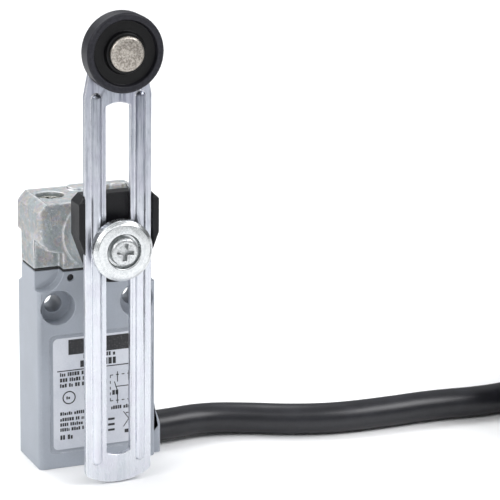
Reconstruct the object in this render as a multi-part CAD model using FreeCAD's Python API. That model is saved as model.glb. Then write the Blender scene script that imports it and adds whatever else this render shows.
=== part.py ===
"""Prewired compact limit switch with an adjustable slotted roller lever.

Frame: millimetres, +Z up towards the head, +X to the right seen from the front, and the
front faces -Y.  The origin is on the rear mounting face, midway between the two mounting holes.
Each sub-part is one node, written as parts/NODE.step.
"""
import FreeCAD, Part
import math
import os

V = FreeCAD.Vector
X_AXIS, Y_AXIS, Z_AXIS = V(1, 0, 0), V(0, 1, 0), V(0, 0, 1)

# ---- housing ----------------------------------------------------------------------------------
WIDTH = 30.0                 # body and head, along X
DEPTH = 16.0                 # body and head, along Y
HALF = WIDTH / 2
MID_Y = -DEPTH / 2
FLOOR_Z = -40.7              # underside of the body
BODY_TOP = 8.8
GASKET = 0.6
HEAD_BOTTOM = BODY_TOP + GASKET
HEAD_TOP = 25.7
CORNER_R = 1.3
WALL = 2.2
CAVITY_HALF_X = 12.4
CAVITY_TOP = -7.0
NECK_HALF_X = 4.6
NECK_TOP = 5.2
SOCKET_HALF_X = 7.1          # top socket for the contact block's flange

# ---- mounting holes ---------------------------------------------------------------------------
HOLE_SPACING = 20.0
HOLE_R = 2.15
SEAT_R = 4.25
SEAT_DEPTH = 4.0

# ---- waist pockets round the joint between body and head --------------------------------------
POCKET_FRONT = 3.0
POCKET_REAR = 3.4
POCKET_X = 8.7
POCKET_R = 5.0
POCKET_BOTTOM = 4.2
POCKET_TOP = 13.4
POCKET_TOP_R = 7.5
REAR_POCKET_TOP = 16.6
REAR_POCKET_BOTTOM = 4.9
REAR_POCKET_SLOPE = 1.8

# ---- label ------------------------------------------------------------------------------------
LABEL_HALF_X = 11.4
LABEL_Z = (-36.0, -7.8)
LABEL_MARGIN = 0.8
LABEL_RECESS = 0.3
LABEL_T = 0.2

# ---- retaining pin ----------------------------------------------------------------------------
PIN_X, PIN_Z, PIN_R = -6.8, 7.2, 0.85

# ---- shaft line -------------------------------------------------------------------------------
SHAFT_Z = 17.7
SHAFT_R = 3.5
RUN_GAP = 0.05               # radial running clearance
BOSS_BASE_R, BOSS_TIP_R = 8.6, 7.3
BOSS_FRONT = -24.7
BUSH_R = 4.7
BUSH_BACK = -18.5
SEAL_Y = -17.3
SEAL_SECTION_R = 0.8
TAIL_R = 2.25
TAIL_END = -1.2
CHAMBER_HALF_X = 6.4
CHAMBER_Y = (-13.0, -2.6)
CHAMBER_TOP = 24.0
CAM_R = 5.6
CAM_Y = (-11.2, -4.4)
CAM_NOTCH = 1.6
CLIP_Y = -12.2
CLIP_T = 0.6

# ---- head screws ------------------------------------------------------------------------------
HEAD_SCREW_X, HEAD_SCREW_Y = 8.9, -7.2
PAD_X = (-3.0, 12.4)          # low raised pad on the head's top, at the rear
PAD_Y = (-5.6, -0.9)
PAD_H = 0.6
HEAD_SCREW_R = 1.45
HEAD_SCREW_HEAD_R = 2.95
HEAD_SCREW_HEAD_H = 1.8
HEAD_SCREW_SEAT = 2.6
HEAD_SCREW_SEAT_R = 3.4
HEAD_SCREW_END = 5.1

# ---- lever hub --------------------------------------------------------------------------------
HUB_BACK, HUB_FACE, HUB_FRONT = -25.0, -28.7, -31.0
HUB_HALF_X = 9.9
HUB_TOP = 30.6
HUB_FLANGE_END = 16.3
DRIVE_R = 3.0
DRIVE_END = -28.2

# ---- lever ------------------------------------------------------------------------------------
LEVER_T = 1.5
LEVER_HALF_X = 8.2
LEVER_BOTTOM = -40.35
LEVER_END_SAG = 2.3
LEVER_CORNER_R = 1.5
LEVER_TAPER_Z = 53.8
LEVER_EYE_R = 6.0
SLOT_HALF_X = 3.0
SLOT_Z = (-33.5, 52.2)
SLOT_SAG = 0.8
RIB_X = 5.4
RIB_HALF = 1.25
RIB_H = 1.0
RIB_Z = (-35.6, 54.7)

# ---- roller, rivet, clamp ---------------------------------------------------------------------
ROLLER_Z = 64.5
ROLLER_R = 9.3
ROLLER_Y = (-35.4, -30.5)
ROLLER_RIM = 1.6
RIVET_R = 2.5
RIVET_HEAD_R = 4.1
RIVET_FRONT = -36.6
WASHER_R = 7.3
WASHER_Y = (-34.3, -31.25)
WASHER_RECESS_R = 4.0
WASHER_RECESS = 1.5
CLAMP_SCREW_R = 2.0
CLAMP_HEAD_R = 3.4
CLAMP_HEAD_FRONT = -35.0
CLAMP_SCREW_END = -20.5

# ---- plunger and contact block ----------------------------------------------------------------
PLUNGER_TRAVEL = 2.2
FOLLOWER_TOP = SHAFT_Z - CAM_R - 0.2
FOLLOWER_BASE = 9.9
PLUNGER_R = 2.0
PLUNGER_SPLIT = 7.6          # where the follower's stem stands on the block's plunger
BLOCK_TOP = 7.1
BLOCK_BOTTOM = -27.6
BLOCK_SKIN = 1.1
BRIDGE_Z = -15.0
BRIDGE_T = 0.4
BRIDGE_HALF_X = 9.0
TIP_X, TIP_R, TIP_H = 7.8, 1.1, 0.6
STRIP_T = 0.5
NC_TIP_GAP = 0.06
NO_TIP_GAP = PLUNGER_TRAVEL * 0.9 + 0.06
TERMINAL_X = 10.35
TERMINAL_Y = (-10.4, -5.7)     # make contacts in front, break contacts behind
TERMINAL_END = -28.3
CARRIER_Z = (-20.6, -9.4)
CARRIER_WINDOW = (-17.6, -13.9)

# ---- cable ------------------------------------------------------------------------------------
CABLE_R = 3.9
EXIT_X = 17.15
EXIT_Z = -36.1
CABLE_IN_X = 5.0
LIE_Z = FLOOR_Z + CABLE_R
CORE_R = 0.95
RESIN_TOP = -29.0
RESIN_BOTTOM = -40.5

EARTH_X, EARTH_Z = -6.0, -35.5
EARTH_SCREW_R = 1.2
EARTH_SCREW_END = -0.6
CORE_NAMES = ("core_brown", "core_blue", "core_black", "core_grey", "core_earth")
CORE_RING_R = 2.0

# Route of the cable's free stretch, from its inner end to the hank; Z is the centre line's.
ROUTE = [
    (5.0, -8.0, EXIT_Z),
    (19.5, -8.0, EXIT_Z),
    (31.5, -6.0, -36.3),
    (42.5, -8.7, LIE_Z),
    (52.5, -13.9, LIE_Z),
    (63.5, -17.2, LIE_Z),
    (77.0, -17.7, LIE_Z),
    (91.0, -17.2, LIE_Z),
    (105.5, -19.2, LIE_Z),
    (119.0, -17.2, LIE_Z),
    (131.5, -11.3, LIE_Z),
    (143.0, -9.0, LIE_Z),
]

# Hank: flat oval turns, two wide and four high, in line with the cable.
TURN_R = 6 * CABLE_R         # centre line of the inner turns
HANK_RUN = 47.0
HANK_LAYERS = 4
HANK_COLUMNS = 2
HANK_X = ROUTE[-1][0]        # centre of the left end's loops
HANK_Y = ROUTE[-1][1] - TURN_R - 2 * CABLE_R
TIE_WIDTH, TIE_T = 4.6, 1.0
CABLE_END_X = HANK_X + 32.0  # where the sheath ends, on the top layer
END_CORE_LENGTH = 34.0


# ---- helpers ----------------------------------------------------------------------------------
def box(x, y, z):
    """A box from three (low, high) pairs."""
    return Part.makeBox(x[1] - x[0], y[1] - y[0], z[1] - z[0], V(x[0], y[0], z[0]))


def slab(half_x, y, z):
    """A box that is symmetric about X = 0."""
    return box((-half_x, half_x), y, z)


def rod(radius, start, end):
    """A cylinder between two points."""
    start, end = V(*start), V(*end)
    return Part.makeCylinder(radius, (end - start).Length, start, end - start)


def rod_y(radius, y, x=0.0, z=SHAFT_Z):
    return rod(radius, (x, y[0], z), (x, y[1], z))


def rod_z(radius, z, x=0.0, y=MID_Y):
    return rod(radius, (x, y, z[0]), (x, y, z[1]))


def ring_y(outer, inner, y, x=0.0, z=SHAFT_Z):
    return rod_y(outer, y, x, z).cut(rod_y(inner, (y[0] - 1, y[1] + 1), x, z))


def turned_y(points, x=0.0, z=SHAFT_Z):
    """A solid of revolution about the Y axis through (x, z), from (radius, y) points."""
    corners = [V(x + radius, y, z) for radius, y in points]
    face = Part.Face(Part.makePolygon(corners + corners[:1]))
    return face.revolve(V(x, 0, z), Y_AXIS, 360)


def plate(edges, y):
    """A prism along Y whose outline is a closed list of edges in the plane y[0]."""
    face = Part.Face(Part.Wire(Part.__sortEdges__(edges)))
    return face.extrude(V(0, y[1] - y[0], 0))


def line(a, b, y):
    return Part.LineSegment(V(a[0], y, a[1]), V(b[0], y, b[1])).toShape()


def arc(a, mid, b, y):
    return Part.Arc(V(a[0], y, a[1]), V(mid[0], y, mid[1]), V(b[0], y, b[1])).toShape()


def round_edges(shape, radius, wanted):
    """Rounds the edges for which wanted(edge) is true."""
    return shape.makeFillet(radius, [e for e in shape.Edges if wanted(e)])


def is_along(edge, axis):
    if not isinstance(edge.Curve, (Part.Line, Part.LineSegment)):
        return False
    run = edge.Vertexes[-1].Point - edge.Vertexes[0].Point
    return abs(run.normalize().dot(axis)) > 0.999


def both_sides(make):
    """The left and the right copy, as two separate solids."""
    return Part.makeCompound([make(-1), make(1)])


def cross_recess(centre, direction, size, depth, turn=45):
    """Two crossed slots round a tapered socket, for a screwdriver, cut along direction from centre."""
    width = size * 0.24
    tool = Part.makeCone(size * 0.12, size * 0.3, depth)
    for angle in (turn, turn + 90):
        arm = Part.makeBox(size, width, depth, V(-size / 2, -width / 2, 0))
        arm.rotate(V(0, 0, 0), Z_AXIS, angle)
        tool = tool.fuse(arm)
    tool.Placement = FreeCAD.Placement(V(*centre), FreeCAD.Rotation(Z_AXIS, V(*direction)))
    return tool


def rounded_path(points, share=0.45):
    """Straight runs joined by tangent arcs, and the list of the arcs' radii."""
    points = [V(*p) for p in points]
    edges, radii, at = [], [], points[0]
    for before, corner, after in zip(points, points[1:], points[2:]):
        back, ahead = before - corner, after - corner
        reach = share * min(back.Length, ahead.Length)
        back.normalize()
        ahead.normalize()
        half_turn = (math.pi - back.getAngle(ahead)) / 2
        radius = reach / math.tan(half_turn)
        start, end = corner + back * reach, corner + ahead * reach
        inward = (back + ahead).normalize()
        middle = corner + inward * (radius / math.cos(half_turn) - radius)
        edges += [Part.LineSegment(at, start).toShape(), Part.Arc(start, middle, end).toShape()]
        radii.append(radius)
        at = end
    edges.append(Part.LineSegment(at, points[-1]).toShape())
    return Part.Wire(edges), radii


def tube(points, radius, share=0.45):
    """A round bar along a rounded path, its arcs' radii and its length."""
    path, radii = rounded_path(points, share)
    start = V(*points[0])
    heading = V(*points[1]) - start
    section = Part.Wire(Part.makeCircle(radius, start, heading))
    return path.makePipeShell([section], True, False), radii, path.Length


def spring(coil_r, wire_r, turns, bottom, height, x=0.0, y=MID_Y):
    """A coil spring standing on z = bottom."""
    rise = height - 2 * wire_r
    helix = Part.makeHelix(rise / turns, rise, coil_r)
    section = Part.Wire(Part.makeCircle(wire_r, V(coil_r, 0, 0), Y_AXIS))
    coil = helix.makePipeShell([section], True, True)
    coil.translate(V(x, y, bottom + wire_r))
    return coil


# ---- housing ----------------------------------------------------------------------------------
def waist_pockets():
    """What is cut from both castings beside their joint, front and rear, left and right."""
    front = (-DEPTH - 1, -DEPTH + POCKET_FRONT)
    cutters = []
    for side in (-1, 1):
        outer, inner, elbow_x = side * (HALF + 1), side * POCKET_X, side * (POCKET_X + POCKET_R)
        elbow_z, sweep_z = POCKET_BOTTOM + POCKET_R, POCKET_TOP + POCKET_TOP_R
        low = box(sorted((outer, elbow_x)), front, (POCKET_BOTTOM, POCKET_TOP))
        wing = box(sorted((outer, inner)), front, (elbow_z, POCKET_TOP + 4.5))
        elbow = rod_y(POCKET_R, front, elbow_x, elbow_z)
        sweep = rod_y(POCKET_TOP_R, (front[0] - 1, front[1] + 1), inner, sweep_z)
        cutters.append(low.fuse([wing, elbow]).cut(sweep))
        cutters.append(box(sorted((outer, inner)), (-POCKET_REAR, 1),
                           (REAR_POCKET_BOTTOM, REAR_POCKET_TOP)))
        low_z = REAR_POCKET_BOTTOM - REAR_POCKET_SLOPE
        corners = [V(0, -POCKET_REAR, REAR_POCKET_BOTTOM), V(0, 0, low_z),
                   V(0, 1, low_z), V(0, 1, REAR_POCKET_BOTTOM)]
        slope = Part.Face(Part.makePolygon(corners + corners[:1]))
        slope = slope.extrude(V(HALF + 1 - POCKET_X, 0, 0))
        slope.translate(V(min(outer, inner), 0, 0))
        cutters.append(slope)
    return cutters


def cable_boss():
    """The bell-shaped swelling low on the right side, where the cable comes out."""
    front, back = -DEPTH + 1.8, -1.8
    shoulder, flank, low = (14.0, -25.5), (15.6, -29.0), (EXIT_X, -33.6)
    edges = [
        line((14.0, FLOOR_Z), shoulder, front),
        arc(shoulder, (15.15, -27.0), flank, front),
        arc(flank, (16.6, -31.6), low, front),
        line(low, (EXIT_X, FLOOR_Z), front),
        line((EXIT_X, FLOOR_Z), (14.0, FLOOR_Z), front),
    ]
    boss = plate(edges, (front, back))
    return round_edges(boss, 0.8, lambda e: e.BoundBox.XMin > 14.2 and e.BoundBox.YLength < 0.01
                       and e.BoundBox.ZLength > 1)


def body_casting():
    """Painted die-cast body: open below for the potting, and above for the contact block."""
    block = slab(HALF, (-DEPTH, 0), (FLOOR_Z, BODY_TOP))
    block = round_edges(block, CORNER_R, lambda e: is_along(e, Z_AXIS))
    block = block.fuse(cable_boss())
    cavity_y = (-DEPTH + WALL, -WALL)
    cutters = waist_pockets()
    cutters.append(slab(CAVITY_HALF_X, cavity_y, (FLOOR_Z - 1, CAVITY_TOP)))
    cutters.append(slab(NECK_HALF_X, (MID_Y - 3.7, MID_Y + 3.7), (CAVITY_TOP - 1, NECK_TOP + 1)))
    cutters.append(slab(SOCKET_HALF_X, (MID_Y - 4.8, MID_Y + 4.8), (NECK_TOP, BODY_TOP + 1)))
    for x in (-HOLE_SPACING / 2, HOLE_SPACING / 2):
        cutters.append(rod_y(HOLE_R, (-DEPTH - 1, 1), x, 0))
        cutters.append(rod_y(SEAT_R, (-DEPTH - 1, -DEPTH + SEAT_DEPTH), x, 0))
        cutters.append(rod_y(SEAT_R, (-SEAT_DEPTH, 1), x, 0))
    for x in (-HEAD_SCREW_X, HEAD_SCREW_X):
        cutters.append(rod_z(HEAD_SCREW_R, (HEAD_SCREW_END - 0.3, BODY_TOP + 1), x, HEAD_SCREW_Y))
    cutters.append(rod_y(PIN_R, (-DEPTH - 1, -9.0), PIN_X, PIN_Z))
    cutters.append(rod(CABLE_R, (10, MID_Y, EXIT_Z), (EXIT_X + 1, MID_Y, EXIT_Z)))
    cutters.append(rod_y(EARTH_SCREW_R, (-WALL - 1, EARTH_SCREW_END), EARTH_X, EARTH_Z))
    recess = slab(LABEL_HALF_X + LABEL_MARGIN, (-DEPTH, -DEPTH + LABEL_RECESS),
                  (LABEL_Z[0] - LABEL_MARGIN, LABEL_Z[1] + LABEL_MARGIN))
    cutters.append(round_edges(recess, 1.4, lambda e: is_along(e, Y_AXIS)))
    return block.cut(cutters)


def head_casting():
    """Bare die-cast head: cam chamber, bush seat, and the conical boss round the shaft."""
    block = slab(HALF, (-DEPTH, 0), (HEAD_BOTTOM, HEAD_TOP))
    block = round_edges(block, CORNER_R, lambda e: is_along(e, Z_AXIS))
    for side in (-1, 1):
        corner = Part.Face(Part.makePolygon([
            V(side * (HALF - 2.3), 1, HEAD_TOP), V(side * (HALF + 1), 1, HEAD_TOP + 1),
            V(side * (HALF + 1), 1, HEAD_TOP - 3.3), V(side * HALF, 1, HEAD_TOP - 2.3),
            V(side * (HALF - 2.3), 1, HEAD_TOP)])).extrude(V(0, -DEPTH - 2, 0))
        block = block.cut(corner)
    boss = Part.makeCone(BOSS_BASE_R, BOSS_TIP_R, -DEPTH - BOSS_FRONT,
                         V(0, -DEPTH, SHAFT_Z), V(0, -1, 0))
    pad = box(PAD_X, PAD_Y, (HEAD_TOP - 1, HEAD_TOP + PAD_H))
    pad = round_edges(pad, 1.6, lambda e: is_along(e, Z_AXIS))
    pad = round_edges(pad, 0.4, lambda e: e.BoundBox.ZMin > HEAD_TOP + PAD_H - 0.01)
    block = block.cut(waist_pockets()).fuse([boss, pad])
    cutters = [
        slab(CHAMBER_HALF_X, CHAMBER_Y, (HEAD_BOTTOM - 1, CHAMBER_TOP)),
        rod_y(BUSH_R, (BOSS_FRONT - 1, BUSH_BACK)),
        rod_y(SHAFT_R + 2 * SEAL_SECTION_R + 0.1, (BUSH_BACK - 1, SEAL_Y + SEAL_SECTION_R + 0.1)),
        rod_y(SHAFT_R + 0.2, (BUSH_BACK - 1, CHAMBER_Y[0] + 1)),
        rod_y(TAIL_R + RUN_GAP, (CHAMBER_Y[1] - 1, TAIL_END + 0.2)),
    ]
    for x in (-HEAD_SCREW_X, HEAD_SCREW_X):
        seat = (HEAD_TOP - HEAD_SCREW_SEAT, HEAD_TOP + 1)
        cutters.append(rod_z(HEAD_SCREW_R + 0.2, (HEAD_BOTTOM - 1, HEAD_TOP), x, HEAD_SCREW_Y))
        cutters.append(rod_z(HEAD_SCREW_SEAT_R, seat, x, HEAD_SCREW_Y))
    return block.cut(cutters)


def head_gasket():
    """Flat sealing gasket, which follows the castings' outline."""
    sheet = slab(HALF - 0.25, (-DEPTH + 0.25, -0.25), (BODY_TOP, HEAD_BOTTOM))
    cutters = waist_pockets() + [slab(CHAMBER_HALF_X, CHAMBER_Y, (BODY_TOP - 1, HEAD_BOTTOM + 1))]
    for x in (-HEAD_SCREW_X, HEAD_SCREW_X):
        cutters.append(rod_z(HEAD_SCREW_R + 0.2, (BODY_TOP - 1, HEAD_BOTTOM + 1), x, HEAD_SCREW_Y))
    return sheet.cut(cutters)


def head_screws():
    """Two cross-recessed cheese-head screws that hold the head down."""
    seat = HEAD_TOP - HEAD_SCREW_SEAT
    top = seat + HEAD_SCREW_HEAD_H

    def screw(side):
        x = side * HEAD_SCREW_X
        head = rod_z(HEAD_SCREW_HEAD_R, (seat, top), x, HEAD_SCREW_Y)
        head = round_edges(head, 0.6, lambda e: e.BoundBox.ZMin > top - 0.01)
        shank = rod_z(HEAD_SCREW_R, (HEAD_SCREW_END, seat), x, HEAD_SCREW_Y)
        recess = cross_recess((x, HEAD_SCREW_Y, top - 1.3), (0, 0, 1), 3.6, 2.0, 20)
        return head.fuse(shank).cut(recess)

    return both_sides(screw)


def rating_label():
    """Thin self-adhesive label in the front recess."""
    back = -DEPTH + LABEL_RECESS
    sticker = slab(LABEL_HALF_X, (back - LABEL_T, back), LABEL_Z)
    return round_edges(sticker, 1.2, lambda e: is_along(e, Y_AXIS))


def retaining_pin():
    return rod_y(PIN_R, (-DEPTH + 0.6, -9.2), PIN_X, PIN_Z)


def shaft_bush():
    return ring_y(BUSH_R, SHAFT_R + RUN_GAP, (BOSS_FRONT, BUSH_BACK))


def shaft_seal():
    """O-ring behind the bush."""
    return Part.makeTorus(SHAFT_R + SEAL_SECTION_R + 0.04, SEAL_SECTION_R,
                          V(0, SEAL_Y, SHAFT_Z), Y_AXIS)


# ---- shaft ------------------------------------------------------------------------------------
def actuator_shaft():
    """Steel shaft: drive end for the hub, journal, cam seat and rear tail."""
    cam_back = CAM_Y[1] + 0.4
    shaft = rod_y(SHAFT_R, (HUB_BACK, cam_back))
    shaft = shaft.fuse([rod_y(DRIVE_R, (DRIVE_END, HUB_BACK)), rod_y(TAIL_R, (cam_back, TAIL_END))])
    groove = ring_y(SHAFT_R + 1, SHAFT_R - 0.5, (CLIP_Y - CLIP_T / 2, CLIP_Y + CLIP_T / 2))
    thread = rod_y(CLAMP_SCREW_R + 0.06, (DRIVE_END - 1, CLAMP_SCREW_END + 0.8))
    return shaft.cut([groove, thread])


def shaft_cam():
    """Cam disc pressed on the shaft, with the notch that the follower rests under."""
    disc = ring_y(CAM_R, SHAFT_R, CAM_Y)
    floor, mouth = SHAFT_Z - CAM_R + CAM_NOTCH, SHAFT_Z - CAM_R - 1
    corners = [V(-0.4, CAM_Y[0] - 1, floor), V(0.4, CAM_Y[0] - 1, floor),
               V(3.2, CAM_Y[0] - 1, mouth), V(-3.2, CAM_Y[0] - 1, mouth)]
    notch = Part.Face(Part.makePolygon(corners + corners[:1])).extrude(V(0, 10, 0))
    return disc.cut(notch)


def shaft_circlip():
    """Open retaining ring in the shaft's groove."""
    ring = ring_y(SHAFT_R + 1.3, SHAFT_R - 0.5, (CLIP_Y - CLIP_T / 2, CLIP_Y + CLIP_T / 2))
    return ring.cut(box((-1.6, 1.6), (CLIP_Y - 1, CLIP_Y + 1), (SHAFT_Z, SHAFT_Z + 6)))


# ---- hub and clamp ----------------------------------------------------------------------------
def lever_hub():
    """Moulded hub: a shallow channel with side flanges that keeps the lever straight."""
    top_in, top_side = (8.2, HUB_TOP), (HUB_HALF_X, HUB_TOP - 1.7)
    side_low, waist, chin = (HUB_HALF_X, 20.8), (6.95, 12.8), (5.4, 10.0)
    right = [top_in, top_side, side_low, waist, chin]
    left = [(-x, z) for x, z in right]
    edges = [line(a, b, HUB_BACK) for a, b in zip(right, right[1:])]
    edges += [line(a, b, HUB_BACK) for a, b in zip(left, left[1:])]
    edges.append(line(left[0], right[0], HUB_BACK))
    edges.append(arc(right[-1], (0, 8.9), left[-1], HUB_BACK))
    hub = plate(edges, (HUB_BACK, HUB_FRONT))
    hub = round_edges(hub, 0.6, lambda e: is_along(e, Y_AXIS))
    channel = slab(LEVER_HALF_X + 0.12, (HUB_FRONT - 1, HUB_FACE), (0, HUB_TOP + 1))
    chin_cut = slab(HUB_HALF_X + 1, (HUB_FRONT - 1, HUB_FACE), (0, HUB_FLANGE_END))
    bevel = Part.Face(Part.makePolygon([
        V(-12, HUB_FRONT, HUB_TOP - 1.4), V(-12, HUB_FRONT - 1, HUB_TOP + 1),
        V(-12, HUB_FRONT + 1.4, HUB_TOP + 1), V(-12, HUB_FRONT + 1.4, HUB_TOP),
        V(-12, HUB_FRONT, HUB_TOP - 1.4)])).extrude(V(24, 0, 0))
    bore = rod_y(DRIVE_R + RUN_GAP, (HUB_BACK + 1, DRIVE_END - 0.05))
    eye = rod_y(CLAMP_SCREW_R + 0.2, (HUB_FRONT - 1, HUB_BACK + 1))
    return hub.cut([channel, chin_cut, bevel, bore, eye])


def clamp_washer():
    """Turned clamp disc: recessed face, and a spigot that runs in the lever's slot."""
    front, back = WASHER_Y
    spigot_r, spigot_end = SLOT_HALF_X - 0.08, HUB_FACE - 0.05
    bore, chamfer = CLAMP_SCREW_R + 0.1, 0.9
    outline = [
        (bore, front + WASHER_RECESS), (WASHER_RECESS_R, front + WASHER_RECESS),
        (WASHER_RECESS_R, front + 0.3), (WASHER_RECESS_R + 0.3, front),
        (WASHER_R - chamfer, front), (WASHER_R, front + chamfer), (WASHER_R, back),
        (spigot_r, back), (spigot_r, spigot_end), (bore, spigot_end),
    ]
    return turned_y(outline)


def clamp_screw():
    """Cross-recessed pan-head screw through the disc into the shaft's end."""
    seat = WASHER_Y[0] + WASHER_RECESS
    head = rod_y(CLAMP_HEAD_R, (CLAMP_HEAD_FRONT, seat))
    head = round_edges(head, 0.9, lambda e: e.BoundBox.YMax < CLAMP_HEAD_FRONT + 0.01)
    shank = rod_y(CLAMP_SCREW_R, (seat, CLAMP_SCREW_END))
    recess = cross_recess((0, CLAMP_HEAD_FRONT + 1.5, SHAFT_Z), (0, -1, 0), 4.2, 2.5, -7)
    return head.fuse(shank).cut(recess)


# ---- lever and roller -------------------------------------------------------------------------
def tangent_point(from_x, from_z):
    """Where a line from a point on the right touches the round eye's right side."""
    dx, dz = from_x, from_z - ROLLER_Z
    distance = math.hypot(dx, dz)
    angle = math.atan2(dz, dx) + math.acos(LEVER_EYE_R / distance)
    return LEVER_EYE_R * math.cos(angle), ROLLER_Z + LEVER_EYE_R * math.sin(angle)


def roller_lever():
    """Pressed steel strip with a long slot and two ribs raised along it."""
    back, front = HUB_FACE - 0.03, HUB_FACE - LEVER_T
    side = LEVER_HALF_X
    low = LEVER_BOTTOM + LEVER_END_SAG
    touch = tangent_point(side, LEVER_TAPER_Z)
    edges = [
        line((side, low), (side, LEVER_TAPER_Z), back),
        line((side, LEVER_TAPER_Z), touch, back),
        arc(touch, (0, ROLLER_Z + LEVER_EYE_R), (-touch[0], touch[1]), back),
        line((-touch[0], touch[1]), (-side, LEVER_TAPER_Z), back),
        line((-side, LEVER_TAPER_Z), (-side, low), back),
        arc((-side, low), (0, LEVER_BOTTOM), (side, low), back),
    ]
    strip = plate(edges, (back, front))
    strip = round_edges(strip, LEVER_CORNER_R,
                        lambda e: is_along(e, Y_AXIS) and e.BoundBox.ZMax < low + 0.01)
    half, (slot_low, slot_high) = SLOT_HALF_X, SLOT_Z
    slot_edges = [
        line((half, slot_low + SLOT_SAG), (half, slot_high - SLOT_SAG), back + 1),
        arc((half, slot_high - SLOT_SAG), (0, slot_high), (-half, slot_high - SLOT_SAG), back + 1),
        line((-half, slot_high - SLOT_SAG), (-half, slot_low + SLOT_SAG), back + 1),
        arc((-half, slot_low + SLOT_SAG), (0, slot_low), (half, slot_low + SLOT_SAG), back + 1),
    ]
    slot = plate(slot_edges, (back + 1, front - 1))
    rib_r = (RIB_HALF ** 2 + RIB_H ** 2) / (2 * RIB_H)
    rib_y = front - RIB_H + rib_r
    ribs, grooves = [], []
    for x in (-RIB_X, RIB_X):
        low_z, high_z = RIB_Z[0] + rib_r, RIB_Z[1] - rib_r
        ribs.append(rod_z(rib_r, (low_z, high_z), x, rib_y))
        ribs += [Part.makeSphere(rib_r, V(x, rib_y, z)) for z in (low_z, high_z)]
        grooves.append(rod_z(rib_r - 0.35, (low_z, high_z), x, back + 0.25))
    strip = strip.fuse(ribs).removeSplitter()
    keep = slab(side + 1, (front - 2, back), (LEVER_BOTTOM - 1, ROLLER_Z + LEVER_EYE_R + 1))
    strip = strip.common(keep)
    return strip.cut([slot, rod_y(RIVET_R, (front - 1, back + 1), 0, ROLLER_Z)] + grooves)


def roller_rivet():
    """Rivet that the roller turns on: bevelled front head, and a low head behind the lever."""
    bevel = 0.45
    outline = [
        (0, RIVET_FRONT), (RIVET_HEAD_R - bevel, RIVET_FRONT), (RIVET_HEAD_R, RIVET_FRONT + bevel),
        (RIVET_HEAD_R, ROLLER_Y[0] - 0.06), (RIVET_R, ROLLER_Y[0] - 0.06),
        (RIVET_R, HUB_FACE - 0.03), (3.7, HUB_FACE - 0.03), (3.3, HUB_FACE + 0.85),
        (0, HUB_FACE + 0.85),
    ]
    return turned_y(outline, 0, ROLLER_Z)


def roller():
    """Moulded roller with a raised rim and a raised ring round its bore."""
    front, back = ROLLER_Y
    bore, ring_r, rim_in, ease = RIVET_R + 0.06, 4.7, ROLLER_R - ROLLER_RIM, 0.45
    dish, rear_dish = 1.3, 0.8
    outline = [
        (bore, front), (ring_r, front), (ring_r + 0.3, front + dish), (rim_in - 0.3, front + dish),
        (rim_in, front + 0.1), (ROLLER_R - ease, front), (ROLLER_R, front + ease),
        (ROLLER_R, back - ease), (ROLLER_R - ease, back), (rim_in, back - 0.1),
        (rim_in - 0.3, back - rear_dish), (ring_r + 0.3, back - rear_dish), (ring_r, back),
        (bore, back),
    ]
    return turned_y(outline, 0, ROLLER_Z)


# ---- plunger ----------------------------------------------------------------------------------
def cam_follower():
    """Guided shoe under the cam, with a rounded ridge on top and a short stem below."""
    shoe = box((-5.2, 5.2), (-11.4, -4.2), (FOLLOWER_BASE, FOLLOWER_BASE + 0.9))
    ridge = rod(1.1, (0, -10.8, FOLLOWER_TOP - 1.1), (0, -4.8, FOLLOWER_TOP - 1.1))
    ridge = ridge.cut(box((-3, 3), (-12, -3), (0, FOLLOWER_BASE)))
    return shoe.fuse([ridge, rod_z(PLUNGER_R - 0.3, (PLUNGER_SPLIT, FOLLOWER_BASE))])


def block_plunger():
    return rod_z(PLUNGER_R, (CARRIER_Z[1], PLUNGER_SPLIT))


def contact_carrier():
    """Moulded frame whose window carries the moving bridge."""
    frame = slab(2.9, (MID_Y - 2.6, MID_Y + 2.6), CARRIER_Z)
    window = slab(2.9 + 1, (MID_Y - 1.3, MID_Y + 1.3), CARRIER_WINDOW)
    return frame.cut(window)


# ---- contact block ----------------------------------------------------------------------------
def contact_block_base():
    """Moulded block: flange, neck with the plunger's guide, and the contact chamber."""
    chamber_y = (-DEPTH + WALL + 0.8, -WALL - 0.4)
    block = slab(CAVITY_HALF_X - 0.4, chamber_y, (BLOCK_BOTTOM, CAVITY_TOP - 0.3))
    neck = slab(NECK_HALF_X - 0.2, (MID_Y - 3.5, MID_Y + 3.5), (CAVITY_TOP - 1, NECK_TOP + 0.5))
    flange = slab(SOCKET_HALF_X - 0.15, (MID_Y - 4.6, MID_Y + 4.6), (NECK_TOP, BLOCK_TOP))
    chamber = slab(CAVITY_HALF_X - 0.4 - BLOCK_SKIN, (chamber_y[0] - 1, chamber_y[1] - BLOCK_SKIN),
                   (BLOCK_BOTTOM + BLOCK_SKIN, CAVITY_TOP - 0.3 - BLOCK_SKIN))
    cutters = [chamber, rod_z(PLUNGER_R + 0.06, (CAVITY_TOP - 3, BLOCK_TOP + 1)),
               rod_z(PLUNGER_R + 1.3, (BLOCK_TOP - 1.3, BLOCK_TOP + 1)),
               rod_y(PIN_R + 0.02, (-DEPTH, -8.9), PIN_X, PIN_Z)]
    for x in (-TERMINAL_X, TERMINAL_X):
        for y in TERMINAL_Y:
            cutters.append(box((x - 0.3, x + 0.3), (y - 1.25, y + 1.25),
                               (BLOCK_BOTTOM - 1, BLOCK_BOTTOM + BLOCK_SKIN + 1)))
    return block.fuse([neck, flange]).cut(cutters)


def contact_block_cover():
    front = -DEPTH + WALL + 0.1
    return slab(CAVITY_HALF_X - 0.4, (front, front + 0.7), (BLOCK_BOTTOM, CAVITY_TOP - 0.3))


def plunger_seal():
    """Soft ring round the plunger in the flange's recess."""
    return Part.makeTorus(PLUNGER_R + 0.64, 0.6, V(0, MID_Y, BLOCK_TOP - 0.65), Z_AXIS)



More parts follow.
